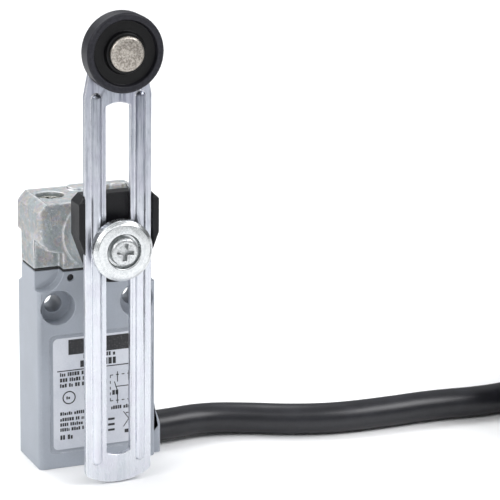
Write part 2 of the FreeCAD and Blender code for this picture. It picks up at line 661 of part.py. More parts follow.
def fixed_strip(side, level, leg_y):
    """Flat contact strip: an arm over the bridge's end and a leg down to its terminal."""
    arm_end = side * (TIP_X - 1.5)
    outer = side * (TERMINAL_X + STRIP_T / 2)
    y_low, y_high = min(leg_y - 1.0, MID_Y - 1.2), max(leg_y + 1.0, MID_Y + 1.2)
    arm = box(sorted((arm_end, outer)), (y_low, y_high), level)
    leg = box(sorted((outer, outer - side * STRIP_T)), (leg_y - 1.0, leg_y + 1.0),
              (TERMINAL_END, level[1]))
    return arm.fuse(leg)


def nc_level():
    low = BRIDGE_Z + BRIDGE_T / 2 + 2 * TIP_H + NC_TIP_GAP
    return low, low + STRIP_T


def no_level():
    high = BRIDGE_Z - BRIDGE_T / 2 - 2 * TIP_H - NO_TIP_GAP
    return high - STRIP_T, high


def break_contacts():
    return both_sides(lambda side: fixed_strip(side, nc_level(), TERMINAL_Y[1]))


def make_contacts():
    return both_sides(lambda side: fixed_strip(side, no_level(), TERMINAL_Y[0]))


def fixed_contact_tips():
    """Silver tips on the four fixed strips."""
    tips = []
    for x in (-TIP_X, TIP_X):
        tips.append(rod_z(TIP_R, (nc_level()[0] - TIP_H, nc_level()[0]), x))
        tips.append(rod_z(TIP_R, (no_level()[1], no_level()[1] + TIP_H), x))
    return Part.makeCompound(tips)


def contact_bridge():
    return slab(BRIDGE_HALF_X, (MID_Y - 1.15, MID_Y + 1.15),
                (BRIDGE_Z - BRIDGE_T / 2, BRIDGE_Z + BRIDGE_T / 2))


def bridge_tips():
    """Silver tips above and below both ends of the bridge."""
    tips = []
    for x in (-TIP_X, TIP_X):
        tips.append(rod_z(TIP_R, (BRIDGE_Z + BRIDGE_T / 2, BRIDGE_Z + BRIDGE_T / 2 + TIP_H), x))
        tips.append(rod_z(TIP_R, (BRIDGE_Z - BRIDGE_T / 2 - TIP_H, BRIDGE_Z - BRIDGE_T / 2), x))
    return Part.makeCompound(tips)


def contact_spring():
    bottom = CARRIER_WINDOW[0] + 0.02
    return spring(0.95, 0.16, 4, bottom, BRIDGE_Z - BRIDGE_T / 2 - bottom - 0.02)


def return_spring():
    bottom = BLOCK_BOTTOM + BLOCK_SKIN + 0.02
    return spring(1.9, 0.28, 5, bottom, CARRIER_Z[0] - bottom - 0.02)


# ---- cores, earth terminal and potting --------------------------------------------------------

def core_offsets():
    """Where the five cores lie in the cable's section, as (y, z) from its centre."""
    angles = [math.radians(90 + 72 * i) for i in range(len(CORE_NAMES))]
    return [(CORE_RING_R * math.cos(a), CORE_RING_R * math.sin(a)) for a in angles]


def core_route(index):
    """A core's way from the cable's inner end to its terminal."""
    dy, dz = core_offsets()[index]
    y, z = MID_Y + dy, EXIT_Z + dz
    lead = [(CABLE_IN_X, y, z)]
    front, rear = TERMINAL_Y
    over = EXIT_Z + CABLE_R + 1.2          # level at which a core passes over the sheath
    if index == 4:
        return lead + [(0.9, y, z), (EARTH_X + 4.4, -WALL - 1.4, EARTH_Z)]
    if index in (0, 1):
        terminal_y = (rear, front)[index]
        rise_x = CABLE_IN_X - 2.6
        return lead + [(rise_x, y, z), (rise_x, terminal_y, over), (TERMINAL_X, terminal_y, over),
                       (TERMINAL_X, terminal_y, TERMINAL_END)]
    terminal_y = (front, rear)[index - 2]
    return lead + [(CABLE_IN_X - 2.6, y, z), (-TERMINAL_X, terminal_y, z),
                   (-TERMINAL_X, terminal_y, TERMINAL_END)]


def core_wire(index):
    """One insulated core between the cable's end and its terminal."""
    return tube(core_route(index), CORE_R, 0.4)[0]


def earth_lug():
    """Ring terminal on the casting's rear wall."""
    back = -WALL
    eye = ring_y(2.5, EARTH_SCREW_R, (back - 0.6, back), EARTH_X, EARTH_Z)
    barrel = rod(1.3, (EARTH_X + 2.2, back - 1.4, EARTH_Z), (EARTH_X + 4.4, back - 1.4, EARTH_Z))
    return eye.fuse(barrel.cut(box((-9, 9), (back, 0), (EARTH_Z - 5, EARTH_Z + 5))))


def earth_screw():
    back = -WALL - 0.6
    head = rod_y(2.1, (back - 1.3, back), EARTH_X, EARTH_Z)
    shank = rod_y(EARTH_SCREW_R, (back, EARTH_SCREW_END), EARTH_X, EARTH_Z)
    return head.fuse(shank).cut(box((EARTH_X - 3, EARTH_X + 3), (back - 2, back - 0.7),
                                    (EARTH_Z - 0.3, EARTH_Z + 0.3)))


def cable_ferrule():
    """Crimped ring that stops the cable from being pulled out."""
    ring = rod(CABLE_R + 0.5, (7.0, MID_Y, EXIT_Z), (10.6, MID_Y, EXIT_Z))
    return ring.cut(rod(CABLE_R, (6.0, MID_Y, EXIT_Z), (12.0, MID_Y, EXIT_Z)))


def potting_resin(inside):
    """Resin that closes the body below, cast round everything in its way."""
    block = slab(CAVITY_HALF_X, (-DEPTH + WALL, -WALL), (RESIN_BOTTOM, RESIN_TOP))
    return block.cut(inside)


# ---- free cable -------------------------------------------------------------------------------
def cable():
    """The cable's sheath, from inside the body to the hank."""
    solid, radii, length = tube(ROUTE, CABLE_R)
    print("cable: arc radii", [round(r, 1) for r in radii])
    print("cable: length %.1f, volume / (section x length) %.4f"
          % (length, solid.Volume / (math.pi * CABLE_R ** 2 * length)))
    return solid


def stadium(radius, z):
    """An upright prism whose outline is the hank's oval at one radius."""
    height = z[1] - z[0]
    low = V(HANK_X, HANK_Y - radius, z[0])
    run = Part.makeBox(HANK_RUN, 2 * radius, height, low)
    ends = [Part.makeCylinder(radius, height, V(x, HANK_Y, z[0]))
            for x in (HANK_X, HANK_X + HANK_RUN)]
    return run.fuse(ends).removeSplitter()


def hank_z():
    return FLOOR_Z, FLOOR_Z + 2 * CABLE_R * HANK_LAYERS


def cable_hank():
    """Outer shape of the tied hank of flat oval turns."""
    inner = TURN_R - CABLE_R
    outer = inner + 2 * CABLE_R * HANK_COLUMNS
    low, high = hank_z()
    ring = stadium(outer, (low, high)).cut(stadium(inner, (low - 1, high + 1)))
    return round_edges(ring, 2.5, lambda e: e.BoundBox.ZLength < 0.01)


def hank_ties():
    """Two cable ties, one round each straight side of the hank."""
    low, high = hank_z()
    middle = HANK_X + HANK_RUN / 2
    across = (middle - TIE_WIDTH / 2, middle + TIE_WIDTH / 2)
    half = CABLE_R * HANK_COLUMNS

    def band(side):
        y = HANK_Y + side * (TURN_R + CABLE_R)
        outer = box(across, (y - half - TIE_T, y + half + TIE_T), (low, high + TIE_T))
        outer = round_edges(outer, 2.5, lambda e: is_along(e, X_AXIS) and e.BoundBox.ZMin > low + 1)
        inner = box((across[0] - 1, across[1] + 1), (y - half, y + half), (low + 0.6, high))
        inner = round_edges(inner, 2.4, lambda e: is_along(e, X_AXIS))
        lock = box((middle - 3.2, middle + 3.2), (y - 2.5, y + 2.5), (high, high + TIE_T + 2.2))
        return outer.cut(inner).fuse(lock)

    return both_sides(band)


def end_cores():
    """Five bare-ended cores that stand out of the cable's far end, on top of the hank."""
    y = ROUTE[-1][1]
    z = hank_z()[1] - CABLE_R
    end = CABLE_END_X + END_CORE_LENGTH
    cores = [rod(CORE_R, (CABLE_END_X, y + dy, z + dz), (end, y + dy, z + dz))
             for dy, dz in core_offsets()]
    return Part.makeCompound(cores)


def main():
    cores = {name: core_wire(index) for index, name in enumerate(CORE_NAMES)}
    inside = {
        "cable": cable(),
        "cable_ferrule": cable_ferrule(),
        "earth_lug": earth_lug(),
        "earth_screw": earth_screw(),
        "break_contacts": break_contacts(),
        "make_contacts": make_contacts(),
        **cores,
    }
    nodes = {
        "body_casting": body_casting(),
        "head_casting": head_casting(),
        "head_gasket": head_gasket(),
        "head_screws": head_screws(),
        "rating_label": rating_label(),
        "retaining_pin": retaining_pin(),
        "shaft_bush": shaft_bush(),
        "shaft_seal": shaft_seal(),
        "actuator_shaft": actuator_shaft(),
        "shaft_cam": shaft_cam(),
        "shaft_circlip": shaft_circlip(),
        "lever_hub": lever_hub(),
        "clamp_washer": clamp_washer(),
        "clamp_screw": clamp_screw(),
        "roller_lever": roller_lever(),
        "roller_rivet": roller_rivet(),
        "roller": roller(),
        "cam_follower": cam_follower(),
        "block_plunger": block_plunger(),
        "contact_carrier": contact_carrier(),
        "contact_block_base": contact_block_base(),
        "contact_block_cover": contact_block_cover(),
        "plunger_seal": plunger_seal(),
        "fixed_contact_tips": fixed_contact_tips(),
        "contact_bridge": contact_bridge(),
        "bridge_tips": bridge_tips(),
        "contact_spring": contact_spring(),
        "return_spring": return_spring(),
        **inside,
        "potting_resin": potting_resin(list(inside.values())),
        "cable_hank": cable_hank(),
        "hank_ties": hank_ties(),
        "end_cores": end_cores(),
    }
    os.makedirs("parts", exist_ok=True)
    for name, shape in nodes.items():
        if not shape.isValid():
            print("not valid:", name)
        shape.exportStep("parts/%s.step" % name)


main()
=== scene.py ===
"""Limit switch with a side lever and roller: the looks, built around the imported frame.

Every length is in metres and every place is in the frame's own axes: the mounting face is
the plane Y = 0, the front looks to -Y and +Z is up.
"""

from __future__ import annotations

import logging
import math
from dataclasses import dataclass, field
from enum import Enum
from functools import cache
from typing import Any, Sequence

import bmesh
import bpy
import numpy as np
from mathutils import Matrix, Vector

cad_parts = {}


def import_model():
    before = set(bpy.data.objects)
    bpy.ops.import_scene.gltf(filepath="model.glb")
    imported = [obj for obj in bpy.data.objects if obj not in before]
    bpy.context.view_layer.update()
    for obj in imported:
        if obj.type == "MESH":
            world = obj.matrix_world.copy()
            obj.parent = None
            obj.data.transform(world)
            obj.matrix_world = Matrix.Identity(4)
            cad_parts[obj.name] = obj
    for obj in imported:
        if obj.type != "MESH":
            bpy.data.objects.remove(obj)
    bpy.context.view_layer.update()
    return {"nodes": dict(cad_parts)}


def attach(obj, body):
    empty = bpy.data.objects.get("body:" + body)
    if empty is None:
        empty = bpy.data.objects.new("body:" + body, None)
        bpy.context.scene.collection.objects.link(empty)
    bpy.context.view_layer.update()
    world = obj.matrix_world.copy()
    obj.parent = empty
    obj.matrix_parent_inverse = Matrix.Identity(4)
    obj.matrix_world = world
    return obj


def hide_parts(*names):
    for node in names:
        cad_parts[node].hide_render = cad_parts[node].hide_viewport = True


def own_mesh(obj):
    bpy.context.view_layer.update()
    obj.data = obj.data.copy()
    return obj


LOG = logging.getLogger("limit_switch")
MM = 0.001
CURVE_STEPS = 8
SHAFT_AXIS = (0.0, 0.0, 17.7 * MM)
ROLLER_AXIS = (0.0, 0.0, 64.5 * MM)
Colour = tuple[float, float, float]
Point = Sequence[float]


class Body(str, Enum):
    """The frame's bodies that new pieces ride on."""

    HOUSING = "housing"
    HUB = "hub"
    LEVER = "lever"
    ROLLER = "roller"
    PLUNGER = "plunger"


class Along(Enum):
    """The axis that a finish's lines or rings follow."""

    X = 0
    Y = 1
    Z = 2


# ---- shader values ----------------------------------------------------------------------------
class Wire:
    """A node value that takes Python's operators; each operator adds one Math node."""

    def __init__(self, nodes: "Nodes", socket: bpy.types.NodeSocket) -> None:
        """Wraps one output socket of a node in that tree."""
        self.nodes = nodes
        self.socket = socket

    def join(self, operation: str, first: Any, second: Any = 0.0) -> "Wire":
        """Adds one Math node.

        Args:
            operation: The Math node's operation.
            first: A Wire or a number.
            second: A Wire or a number.

        Returns:
            The node's value.
        """
        node = self.nodes.node("ShaderNodeMath", {"operation": operation}, {0: first, 1: second})
        return Wire(self.nodes, node.outputs[0])

    def __add__(self, other: Any) -> "Wire":
        """self + other."""
        return self.join("ADD", self, other)

    def __sub__(self, other: Any) -> "Wire":
        """self - other."""
        return self.join("SUBTRACT", self, other)

    def __rsub__(self, other: Any) -> "Wire":
        """other - self."""
        return self.join("SUBTRACT", other, self)

    def __mul__(self, other: Any) -> "Wire":
        """self * other."""
        return self.join("MULTIPLY", self, other)

    def __truediv__(self, other: Any) -> "Wire":
        """self / other."""
        return self.join("DIVIDE", self, other)

    def __pow__(self, other: Any) -> "Wire":
        """self ** other."""
        return self.join("POWER", self, other)

    __radd__ = __add__
    __rmul__ = __mul__

    def wave(self) -> "Wire":
        """The sine, moved to run from 0 to 1."""
        return 0.5 + 0.5 * self.join("SINE", self)

    def rise(self, low: float, high: float, settings: dict | None = None, **ends: float) -> "Wire":
        """Maps low to 0 and high to 1 and holds beyond them, by default with a smooth step.

        Args:
            low: The value that gives 0.
            high: The value that gives 1.
            settings: The node's settings, in place of the smooth step's.
            **ends: To_Min and To_Max, in place of 0 and 1.

        Returns:
            The mapped value.
        """
        values = {"Value": self, "From Min": low, "From Max": high}
        values |= {key.replace("_", " "): value for key, value in ends.items()}
        smooth = {"interpolation_type": "SMOOTHSTEP"}
        chosen = smooth if settings is None else settings
        node = self.nodes.node("ShaderNodeMapRange", chosen, values)
        return Wire(self.nodes, node.outputs["Result"])


class Nodes:
    """Adds nodes to a tree that starts empty."""

    def __init__(self, tree: bpy.types.NodeTree) -> None:
        """Empties the tree."""
        self.tree = tree
        self.tree.nodes.clear()

    def node(
        self,
        kind: str,
        settings: dict[str, Any] | None = None,
        values: dict[str | int, Any] | None = None,
    ) -> bpy.types.Node:
        """Adds one node: its settings first, then the values or links of its sockets.

        Args:
            kind: The node's type.
            settings: Properties of the node; "stops" holds a ramp's (place, colour) pairs.
            values: A number, colour, socket or Wire for each named or numbered input.

        Returns:
            The new node.
        """
        node = self.tree.nodes.new(kind)
        for key, value in (settings or {}).items():
            if key == "stops":
                elements = node.color_ramp.elements
                while len(elements) < len(value):
                    elements.new(1.0)
                for element, (at, colour) in zip(elements, value):
                    element.position = at
                    element.color = (*colour, 1.0)
            else:
                setattr(node, key, value)
        for key, value in (values or {}).items():
            value = value.socket if isinstance(value, Wire) else value
            if isinstance(value, bpy.types.NodeSocket):
                self.tree.links.new(value, node.inputs[key])
            else:
                node.inputs[key].default_value = value
        return node

    def part(self, vector: bpy.types.NodeSocket, axis: Along) -> Wire:
        """One number of a vector."""
        split = self.node("ShaderNodeSeparateXYZ", values={0: vector})
        return Wire(self, split.outputs[axis.value])


class Shader(Nodes):
    """Builds one material's nodes around a Principled shader."""

    def __init__(self, name: str) -> None:
        """Starts a material with that name."""
        self.material = bpy.data.materials.new(name)
        self.material.use_nodes = True
        super().__init__(self.material.node_tree)
        self.surface = self.node("ShaderNodeBsdfPrincipled")
        output = self.node("ShaderNodeOutputMaterial")
        self.tree.links.new(self.surface.outputs[0], output.inputs["Surface"])
        self.place = self.node("ShaderNodeTexCoord").outputs["Object"]

    def along(self, axis: Along) -> Wire:
        """One object coordinate, in metres."""
        return self.part(self.place, axis)

    def stretched(self, factors: Sequence[float]) -> bpy.types.NodeSocket:
        """Object coordinates times one factor for each axis.

        Args:
            factors: A factor for x, y and z.

        Returns:
            The stretched coordinates.
        """
        node = self.node(
            "ShaderNodeVectorMath", {"operation": "MULTIPLY"}, {0: self.place, 1: tuple(factors)}
        )
        return node.outputs[0]

    def noise(
        self,
        grain: float,
        detail: float = 3.0,
        stretch: Sequence[float] | None = None,
        roughness: float = 0.5,
    ) -> Wire:
        """Fractal noise from 0 to 1.

        Args:
            grain: The size of a grain, in metres.
            detail: The number of finer layers.
            stretch: A factor for each axis; under 1 draws the grains out along it.
            roughness: The weight of the finer layers.

        Returns:
            The noise.
        """
        vector = self.place if stretch is None else self.stretched(stretch)
        values = {"Vector": vector, "Scale": 1 / grain, "Detail": detail, "Roughness": roughness}
        return Wire(self, self.node("ShaderNodeTexNoise", values=values).outputs[0])

    def cells(self, size: float) -> Wire:
        """The distance to the nearest of scattered points, in cells of that size in metres."""
        values = {"Vector": self.place, "Scale": 1 / size}
        return Wire(self, self.node("ShaderNodeTexVoronoi", values=values).outputs[0])

    def radius(self, axis: Along, centre: Sequence[float]) -> Wire:
        """The distance from a line through centre along an axis, in metres.

        Args:
            axis: The line's direction.
            centre: A point on the line, in metres.

        Returns:
            The distance.
        """
        a, b = [each for each in Along if each is not axis]
        first = self.along(a) - centre[a.value]
        second = self.along(b) - centre[b.value]
        return (first * first + second * second) ** 0.5

    def edges(self, width: float, low: float = 0.02, high: float = 0.25) -> Wire:
        """1 on sharp edges and 0 on flats: one minus the product of the real and a rounded normal.

        Args:
            width: How far from an edge the mask reaches, in metres.
            low: The bend at which the mask starts.
            high: The bend at which the mask is full.

        Returns:
            The mask.
        """
        rounded = self.node("ShaderNodeBevel", {"samples": 4}, {"Radius": width}).outputs[0]
        real = self.node("ShaderNodeNewGeometry").outputs["True Normal"]
        dot = {"operation": "DOT_PRODUCT"}
        product = self.node("ShaderNodeVectorMath", dot, {0: rounded, 1: real})
        return (1 - Wire(self, product.outputs["Value"])).rise(low, high)

    def mix(self, factor: Any, low: Any, high: Any, blend: str = "MIX") -> bpy.types.NodeSocket:
        """Mixes two colours.

        Args:
            factor: 0 gives low and 1 gives high.
            low: A colour or a colour socket.
            high: A colour or a colour socket.
            blend: The Mix node's blend type.

        Returns:
            The mixed colour.
        """
        low, high = ((*c, 1.0) if isinstance(c, tuple) else c for c in (low, high))
        settings = {"data_type": "RGBA", "blend_type": blend}
        return self.node("ShaderNodeMix", settings, {0: factor, 6: low, 7: high}).outputs[2]

    def ramp(self, value: Any, stops: Sequence[tuple[float, Colour]]) -> bpy.types.NodeSocket:
        """Turns a value into a colour through stops of (place, colour)."""
        return self.node("ShaderNodeValToRGB", {"stops": stops}, {0: value}).outputs[0]

    def bump(self, height: Any, depth: float, strength: float = 1.0) -> None:
        """Sets the shader's normal from a height of 0 to 1, which is depth metres deep.

        Args:
            height: The height, a value or a wire.
            depth: What a height of 1 stands for, in metres.
            strength: The Bump node's strength.
        """
        before = self.surface.inputs["Normal"].links
        values: dict[str | int, Any] = {"Height": height, "Distance": depth, "Strength": strength}
        if before:
            values["Normal"] = before[0].from_socket
        normal = self.node("ShaderNodeBump", values=values).outputs[0]
        self.tree.links.new(normal, self.surface.inputs["Normal"])

    def set(self, **values: Any) -> None:
        """Sets or links sockets of the shader; underscores in the names stand for spaces."""
        for key, value in values.items():
            target = self.surface.inputs[key.replace("_", " ")]
            value = value.socket if isinstance(value, Wire) else value
            if isinstance(value, bpy.types.NodeSocket):
                self.tree.links.new(value, target)
            else:
                target.default_value = (*value, 1.0) if isinstance(value, tuple) else value


# ---- finishes ---------------------------------------------------------------------------------
@dataclass(frozen=True)
class Finish:
    """A finish with a name; each kind says how its nodes are made."""

    name: str

    def nodes(self, shader: Shader) -> None:
        """Adds the finish's nodes to an empty shader.

        Args:
            shader: The material's tree that gets the nodes.
        """
        raise NotImplementedError

    @cache
    def material(self) -> bpy.types.Material:
        """The finish as a material, made once.

        Returns:
            The material.
        """
        shader = Shader("finish_" + self.name)
        self.nodes(shader)
        return shader.material


@dataclass(frozen=True)
class StovedPaint(Finish):
    """Satin stoved paint on a die casting: orange peel, faint clouds, and paler edges that are
    partly abraded paint and partly a painted highlight.
    """

    colour: Colour = (0.36, 0.39, 0.44)
    # The paler edge colour: partly abraded paint, partly a painted highlight.
    rubbed_and_lit: Colour = (0.62, 0.65, 0.71)

    def nodes(self, shader: Shader) -> None:
        """Peel of 0.35 mm, clouds of 9 mm, and a paler line on the edges: partly abraded paint,
        partly a painted highlight.

        Args:
            shader: The material's tree that gets the nodes.
        """
        clouds = shader.noise(9 * MM, 4.0)
        speck = shader.noise(0.5 * MM, 2.0)
        shade = tuple(0.88 * c for c in self.colour)
        base = shader.mix((clouds * 0.7 + speck * 0.3).rise(0.3, 0.7), shade, self.colour)
        # Paler edges, varied by noise: partly abraded paint, partly a painted highlight.
        rub_and_highlight = shader.edges(0.45 * MM) * (0.35 + 0.65 * shader.noise(1.6 * MM, 3.0).rise(0.35, 0.65))
        shader.set(
            Base_Color=shader.mix(rub_and_highlight * 0.75, base, self.rubbed_and_lit),
            Roughness=0.42 + 0.14 * clouds - 0.08 * rub_and_highlight,
            Metallic=0.0,
            Coat_Roughness=0.35,
            Coat_Weight=0.12,
        )
        shader.bump(shader.noise(0.35 * MM, 2.0), 0.018 * MM)
        shader.bump(shader.noise(2.4 * MM, 2.0), 0.03 * MM)


@dataclass(frozen=True)
class RawCasting(Finish):
    """Bare passivated zinc casting: rough skin, warm and cold bloom, and bright edges that are
    partly chipped bare zinc and partly a painted highlight.
    """

    cold: Colour = (0.44, 0.47, 0.52)
    green: Colour = (0.43, 0.48, 0.46)
    warm: Colour = (0.53, 0.51, 0.44)
    rose: Colour = (0.51, 0.46, 0.51)
    pit: Colour = (0.16, 0.17, 0.185)
    bright: Colour = (0.93, 0.94, 0.95)

    def nodes(self, shader: Shader) -> None:
        """Four bloom colours on slow noise, a pitted skin, and bright edges split up by finer
        noise: partly chipped bare zinc, partly a painted highlight.

        Args:
            shader: The material's tree that gets the nodes.
        """
        bloom = shader.noise(2.6 * MM, 3.0, roughness=0.6)
        base = shader.ramp(
            bloom,
            [(0.34, self.cold), (0.42, self.green), (0.49, self.cold), (0.55, self.warm),
             (0.61, self.rose), (0.68, self.cold)],
        )
        skin = shader.noise(0.8 * MM, 4.0, roughness=0.75)
        coarse = shader.noise(1.7 * MM, 3.0, roughness=0.6)
        mottle = (skin * 0.6 + coarse * 0.4).rise(0.36, 0.6)
        base = shader.mix(mottle, shader.mix(0.42, base, self.pit), base)
        ridge = shader.edges(1.0 * MM, 0.004, 0.1)
        # Bright edges: partly chipped bare zinc, partly a painted highlight.
        bare_and_lit_edges = ridge * shader.noise(1.3 * MM, 3.0).rise(0.3, 0.55)
        fleck = shader.noise(0.6 * MM, 2.0).rise(0.62, 0.72)
        shader.set(
            Base_Color=shader.mix(0.85 * bare_and_lit_edges + 0.45 * fleck * (1 - bare_and_lit_edges), base, self.bright),
            Roughness=0.44 + 0.34 * skin - 0.24 * bare_and_lit_edges,
            Metallic=0.84,
        )
        shader.bump(skin, 0.22 * MM, 0.8)
        shader.bump(coarse, 0.3 * MM, 0.7)


@dataclass(frozen=True)
class PlatedSheet(Finish):
    """Bright zinc plate on rolled strip: long soft streaks and a faint violet and blue sheen."""

    colour: Colour = (0.68, 0.70, 0.745)
    violet: Colour = (0.62, 0.61, 0.69)
    steel: Colour = (0.60, 0.63, 0.675)
    # The next two colours paint shade onto the plate towards the roller end.
    painted_shade_tint: Colour = (0.46, 0.48, 0.53)
    dark: Colour = (0.24, 0.26, 0.30)
    axis: Along = Along.Z

    def nodes(self, shader: Shader) -> None:
        """Noise drawn out along the strip, painted shade that darkens the plate towards the roller
        end, and a painted highlight on the edges.

        Args:
            shader: The material's tree that gets the nodes.
        """
        long, short = [1.0, 1.0, 1.0], [1.0, 1.0, 1.0]
        long[self.axis.value], short[self.axis.value] = 0.02, 0.12
        streak = shader.noise(0.9 * MM, 3.0, long, 0.65)
        hair = shader.noise(0.3 * MM, 2.0, short, 0.6)
        cloud = shader.noise(6 * MM, 3.0)
        # Painted shade: the plate darkens from below the clamp towards the roller; the same mask
        # also raises the roughness there.
        wear_and_shade = self.painted_shade_to_roller(shader)
        shade = shader.mix(wear_and_shade, self.steel, self.dark)
        base = shader.mix(streak.rise(0.34, 0.56), shade, self.colour)
        base = shader.mix(cloud.rise(0.42, 0.66) * 0.5, base, self.violet)
        base = shader.mix(hair.rise(0.5, 0.7) * 0.4, base, shade)
        base = shader.mix(wear_and_shade * 0.7, base, shader.mix(1.0, base, self.painted_shade_tint, "MULTIPLY"))
        # Painted highlight: the plate's edges are lightened towards white.
        edge = shader.edges(0.4 * MM, 0.008, 0.12)
        shader.set(
            Base_Color=shader.mix(edge * 0.8, base, (0.97, 0.97, 0.98)),
            Roughness=0.15 + 0.16 * streak + 0.1 * hair + 0.08 * wear_and_shade,
            Metallic=1.0,
        )
        shader.bump(hair, 0.02 * MM)
        shader.bump(streak, 0.05 * MM)

    def painted_shade_to_roller(self, shader: Shader) -> Wire:
        """Painted shade: 0 below the clamp and 1 near the roller, varied by a slow noise."""
        return (shader.along(self.axis) / MM + 30 * shader.noise(3 * MM, 3.0)).rise(16.0, 74.0)


@dataclass(frozen=True)
class TurnedMetal(Finish):
    """Metal turned on a lathe: fine rings about an axis, and a little grain."""

    colour: Colour = (0.78, 0.78, 0.78)
    tint: Colour = (0.62, 0.61, 0.60)
    axis: Along = Along.Y
    centre: tuple[float, float, float] = (0.0, 0.0, 0.0)
    pitch: float = 0.3 * MM
    depth: float = 0.004 * MM
    roughness: float = 0.24
    grain: float = 0.0
    patch: float = 0.5 * MM

    def nodes(self, shader: Shader) -> None:
        """Rings are a sine of the distance from the axis; grain and stains are noise.

        Args:
            shader: The material's tree that gets the nodes.
        """
        wobble = shader.noise(3.0 * MM, 2.0)
        distance = shader.radius(self.axis, self.centre)
        rings = (distance * (2 * math.pi / self.pitch) + wobble * 2.0).wave()
        broad = (distance * (2 * math.pi / (4.6 * self.pitch)) + wobble * 2.5).wave()
        fine = shader.noise(self.patch, 4.0, roughness=0.7)
        stain = (0.08 * broad + 0.92 * fine).rise(0.36, 0.6)
        # Painted highlight: the edges are lightened towards white.
        edge = shader.edges(0.3 * MM, 0.01, 0.16)
        shader.set(
            Base_Color=shader.mix(
                edge * 0.7, shader.mix(stain, self.tint, self.colour), (0.95, 0.95, 0.94)
            ),
            Roughness=self.roughness + 0.05 * rings + (0.08 + self.grain) * fine,
            Metallic=1.0,
        )
        shader.bump(rings, self.depth)
        shader.bump(fine, (0.01 + 0.5 * self.grain) * MM)


@dataclass(frozen=True)
class DrawnWire(Finish):
    """Drawn, pressed or stamped metal: scratches along one axis over a mottled skin."""

    colour: Colour = (0.55, 0.55, 0.56)
    stain: Colour = (0.36, 0.35, 0.34)
    roughness: float = 0.3
    axis: Along = Along.Z

    def nodes(self, shader: Shader) -> None:
        """Noise drawn out along the axis for scratches, and cells for the mottling.

        Args:
            shader: The material's tree that gets the nodes.
        """
        stretch = [1.0, 1.0, 1.0]
        stretch[self.axis.value] = 0.06
        scratch = shader.noise(0.35 * MM, 3.0, stretch)
        mottle = shader.noise(1.3 * MM, 4.0)
        shader.set(
            Base_Color=shader.mix(mottle.rise(0.3, 0.7), self.stain, self.colour),
            Roughness=self.roughness + 0.15 * scratch + 0.1 * mottle,
            Metallic=1.0,
        )
        shader.bump(scratch, 0.01 * MM)


@dataclass(frozen=True)
class Moulding(Finish):
    """Moulded plastic: a fine eroded skin, slow clouds and paler scuffed edges."""

    colour: Colour = (0.03, 0.03, 0.033)
    scuff: Colour = (0.12, 0.12, 0.13)
    roughness: float = 0.42
    grain: float = 0.4 * MM
    depth: float = 0.02 * MM
    gloss: float = 0.5

    def nodes(self, shader: Shader) -> None:
        """Skin from fine noise, clouds from slow noise, and a scuff mask on the edges.

        Args:
            shader: The material's tree that gets the nodes.
        """
        skin = shader.noise(self.grain, 3.0, roughness=0.6)
        clouds = shader.noise(6 * MM, 3.0)
        wear = shader.edges(0.35 * MM) * shader.noise(0.9 * MM, 3.0).rise(0.3, 0.62)
        pale = tuple(min(1.0, 1.28 * c + 0.004) for c in self.colour)
        base = shader.mix((0.6 * clouds + 0.4 * skin).rise(0.3, 0.72), self.colour, pale)
        shader.set(
            Base_Color=shader.mix(wear * 0.7, base, self.scuff),
            Roughness=self.roughness + 0.14 * skin + 0.08 * clouds - 0.06 * wear,
            Metallic=0.0,
            Specular_IOR_Level=self.gloss,
        )
        shader.bump(skin, self.depth)
        shader.bump(clouds, 0.03 * MM)


@dataclass(frozen=True)
class RolledTread(Finish):
    """Black roller plastic: a matt dished face kept dark as painted shade, and a rim and tread
    painted lighter grey.
    """

    colour: Colour = (0.003, 0.003, 0.0035)
    # Lighter grey painted on the rim and tread, against the painted shade of the dish.
    rubbed_and_lit: Colour = (0.022, 0.022, 0.029)
    rim: float = 7.9 * MM

    def nodes(self, shader: Shader) -> None:
        """The painted light rises with the distance from the axis, from the dark dish to the
        lighter rim, is varied by noise and is lifted on the edges.

        Args:
            shader: The material's tree that gets the nodes.
        """
        distance = shader.radius(Along.Y, ROLLER_AXIS)
        scuffs = shader.noise(0.7 * MM, 4.0, (1.0, 0.3, 1.0), 0.65)
        # Painted shade: the dish stays dark, while the rim, the tread and the edges are painted
        # lighter.
        wear_and_shade = (distance / self.rim).rise(0.9, 1.02)
        edge = shader.edges(0.4 * MM, 0.01, 0.2)
        rim_light_share = wear_and_shade * (0.5 + 0.5 * scuffs.rise(0.35, 0.65)) + 0.25 * edge
        shader.set(
            Base_Color=shader.mix(rim_light_share, self.colour, self.rubbed_and_lit),
            Roughness=0.3 + 0.16 * scuffs + 0.08 * wear_and_shade,
            Specular_IOR_Level=0.24,
        )
        shader.bump(scuffs, 0.02 * MM)
        shader.bump(shader.noise(3 * MM, 2.0), 0.04 * MM)


@dataclass(frozen=True)
class Rubber(Finish):
    """Matt rubber with a dusty bloom and tiny pits."""

    colour: Colour = (0.022, 0.022, 0.023)
    bloom: Colour = (0.09, 0.09, 0.09)

    def nodes(self, shader: Shader) -> None:
        """Bloom from slow noise, pits from cells.

        Args:
            shader: The material's tree that gets the nodes.
        """
        dust = shader.noise(2.5 * MM, 5.0, roughness=0.65)
        pits = shader.cells(0.45 * MM)
        shader.set(
            Base_Color=shader.mix(dust.rise(0.45, 0.8), self.colour, self.bloom),
            Roughness=0.66 + 0.2 * dust,
        )
        shader.bump(pits.rise(0.0, 0.5), 0.02 * MM)


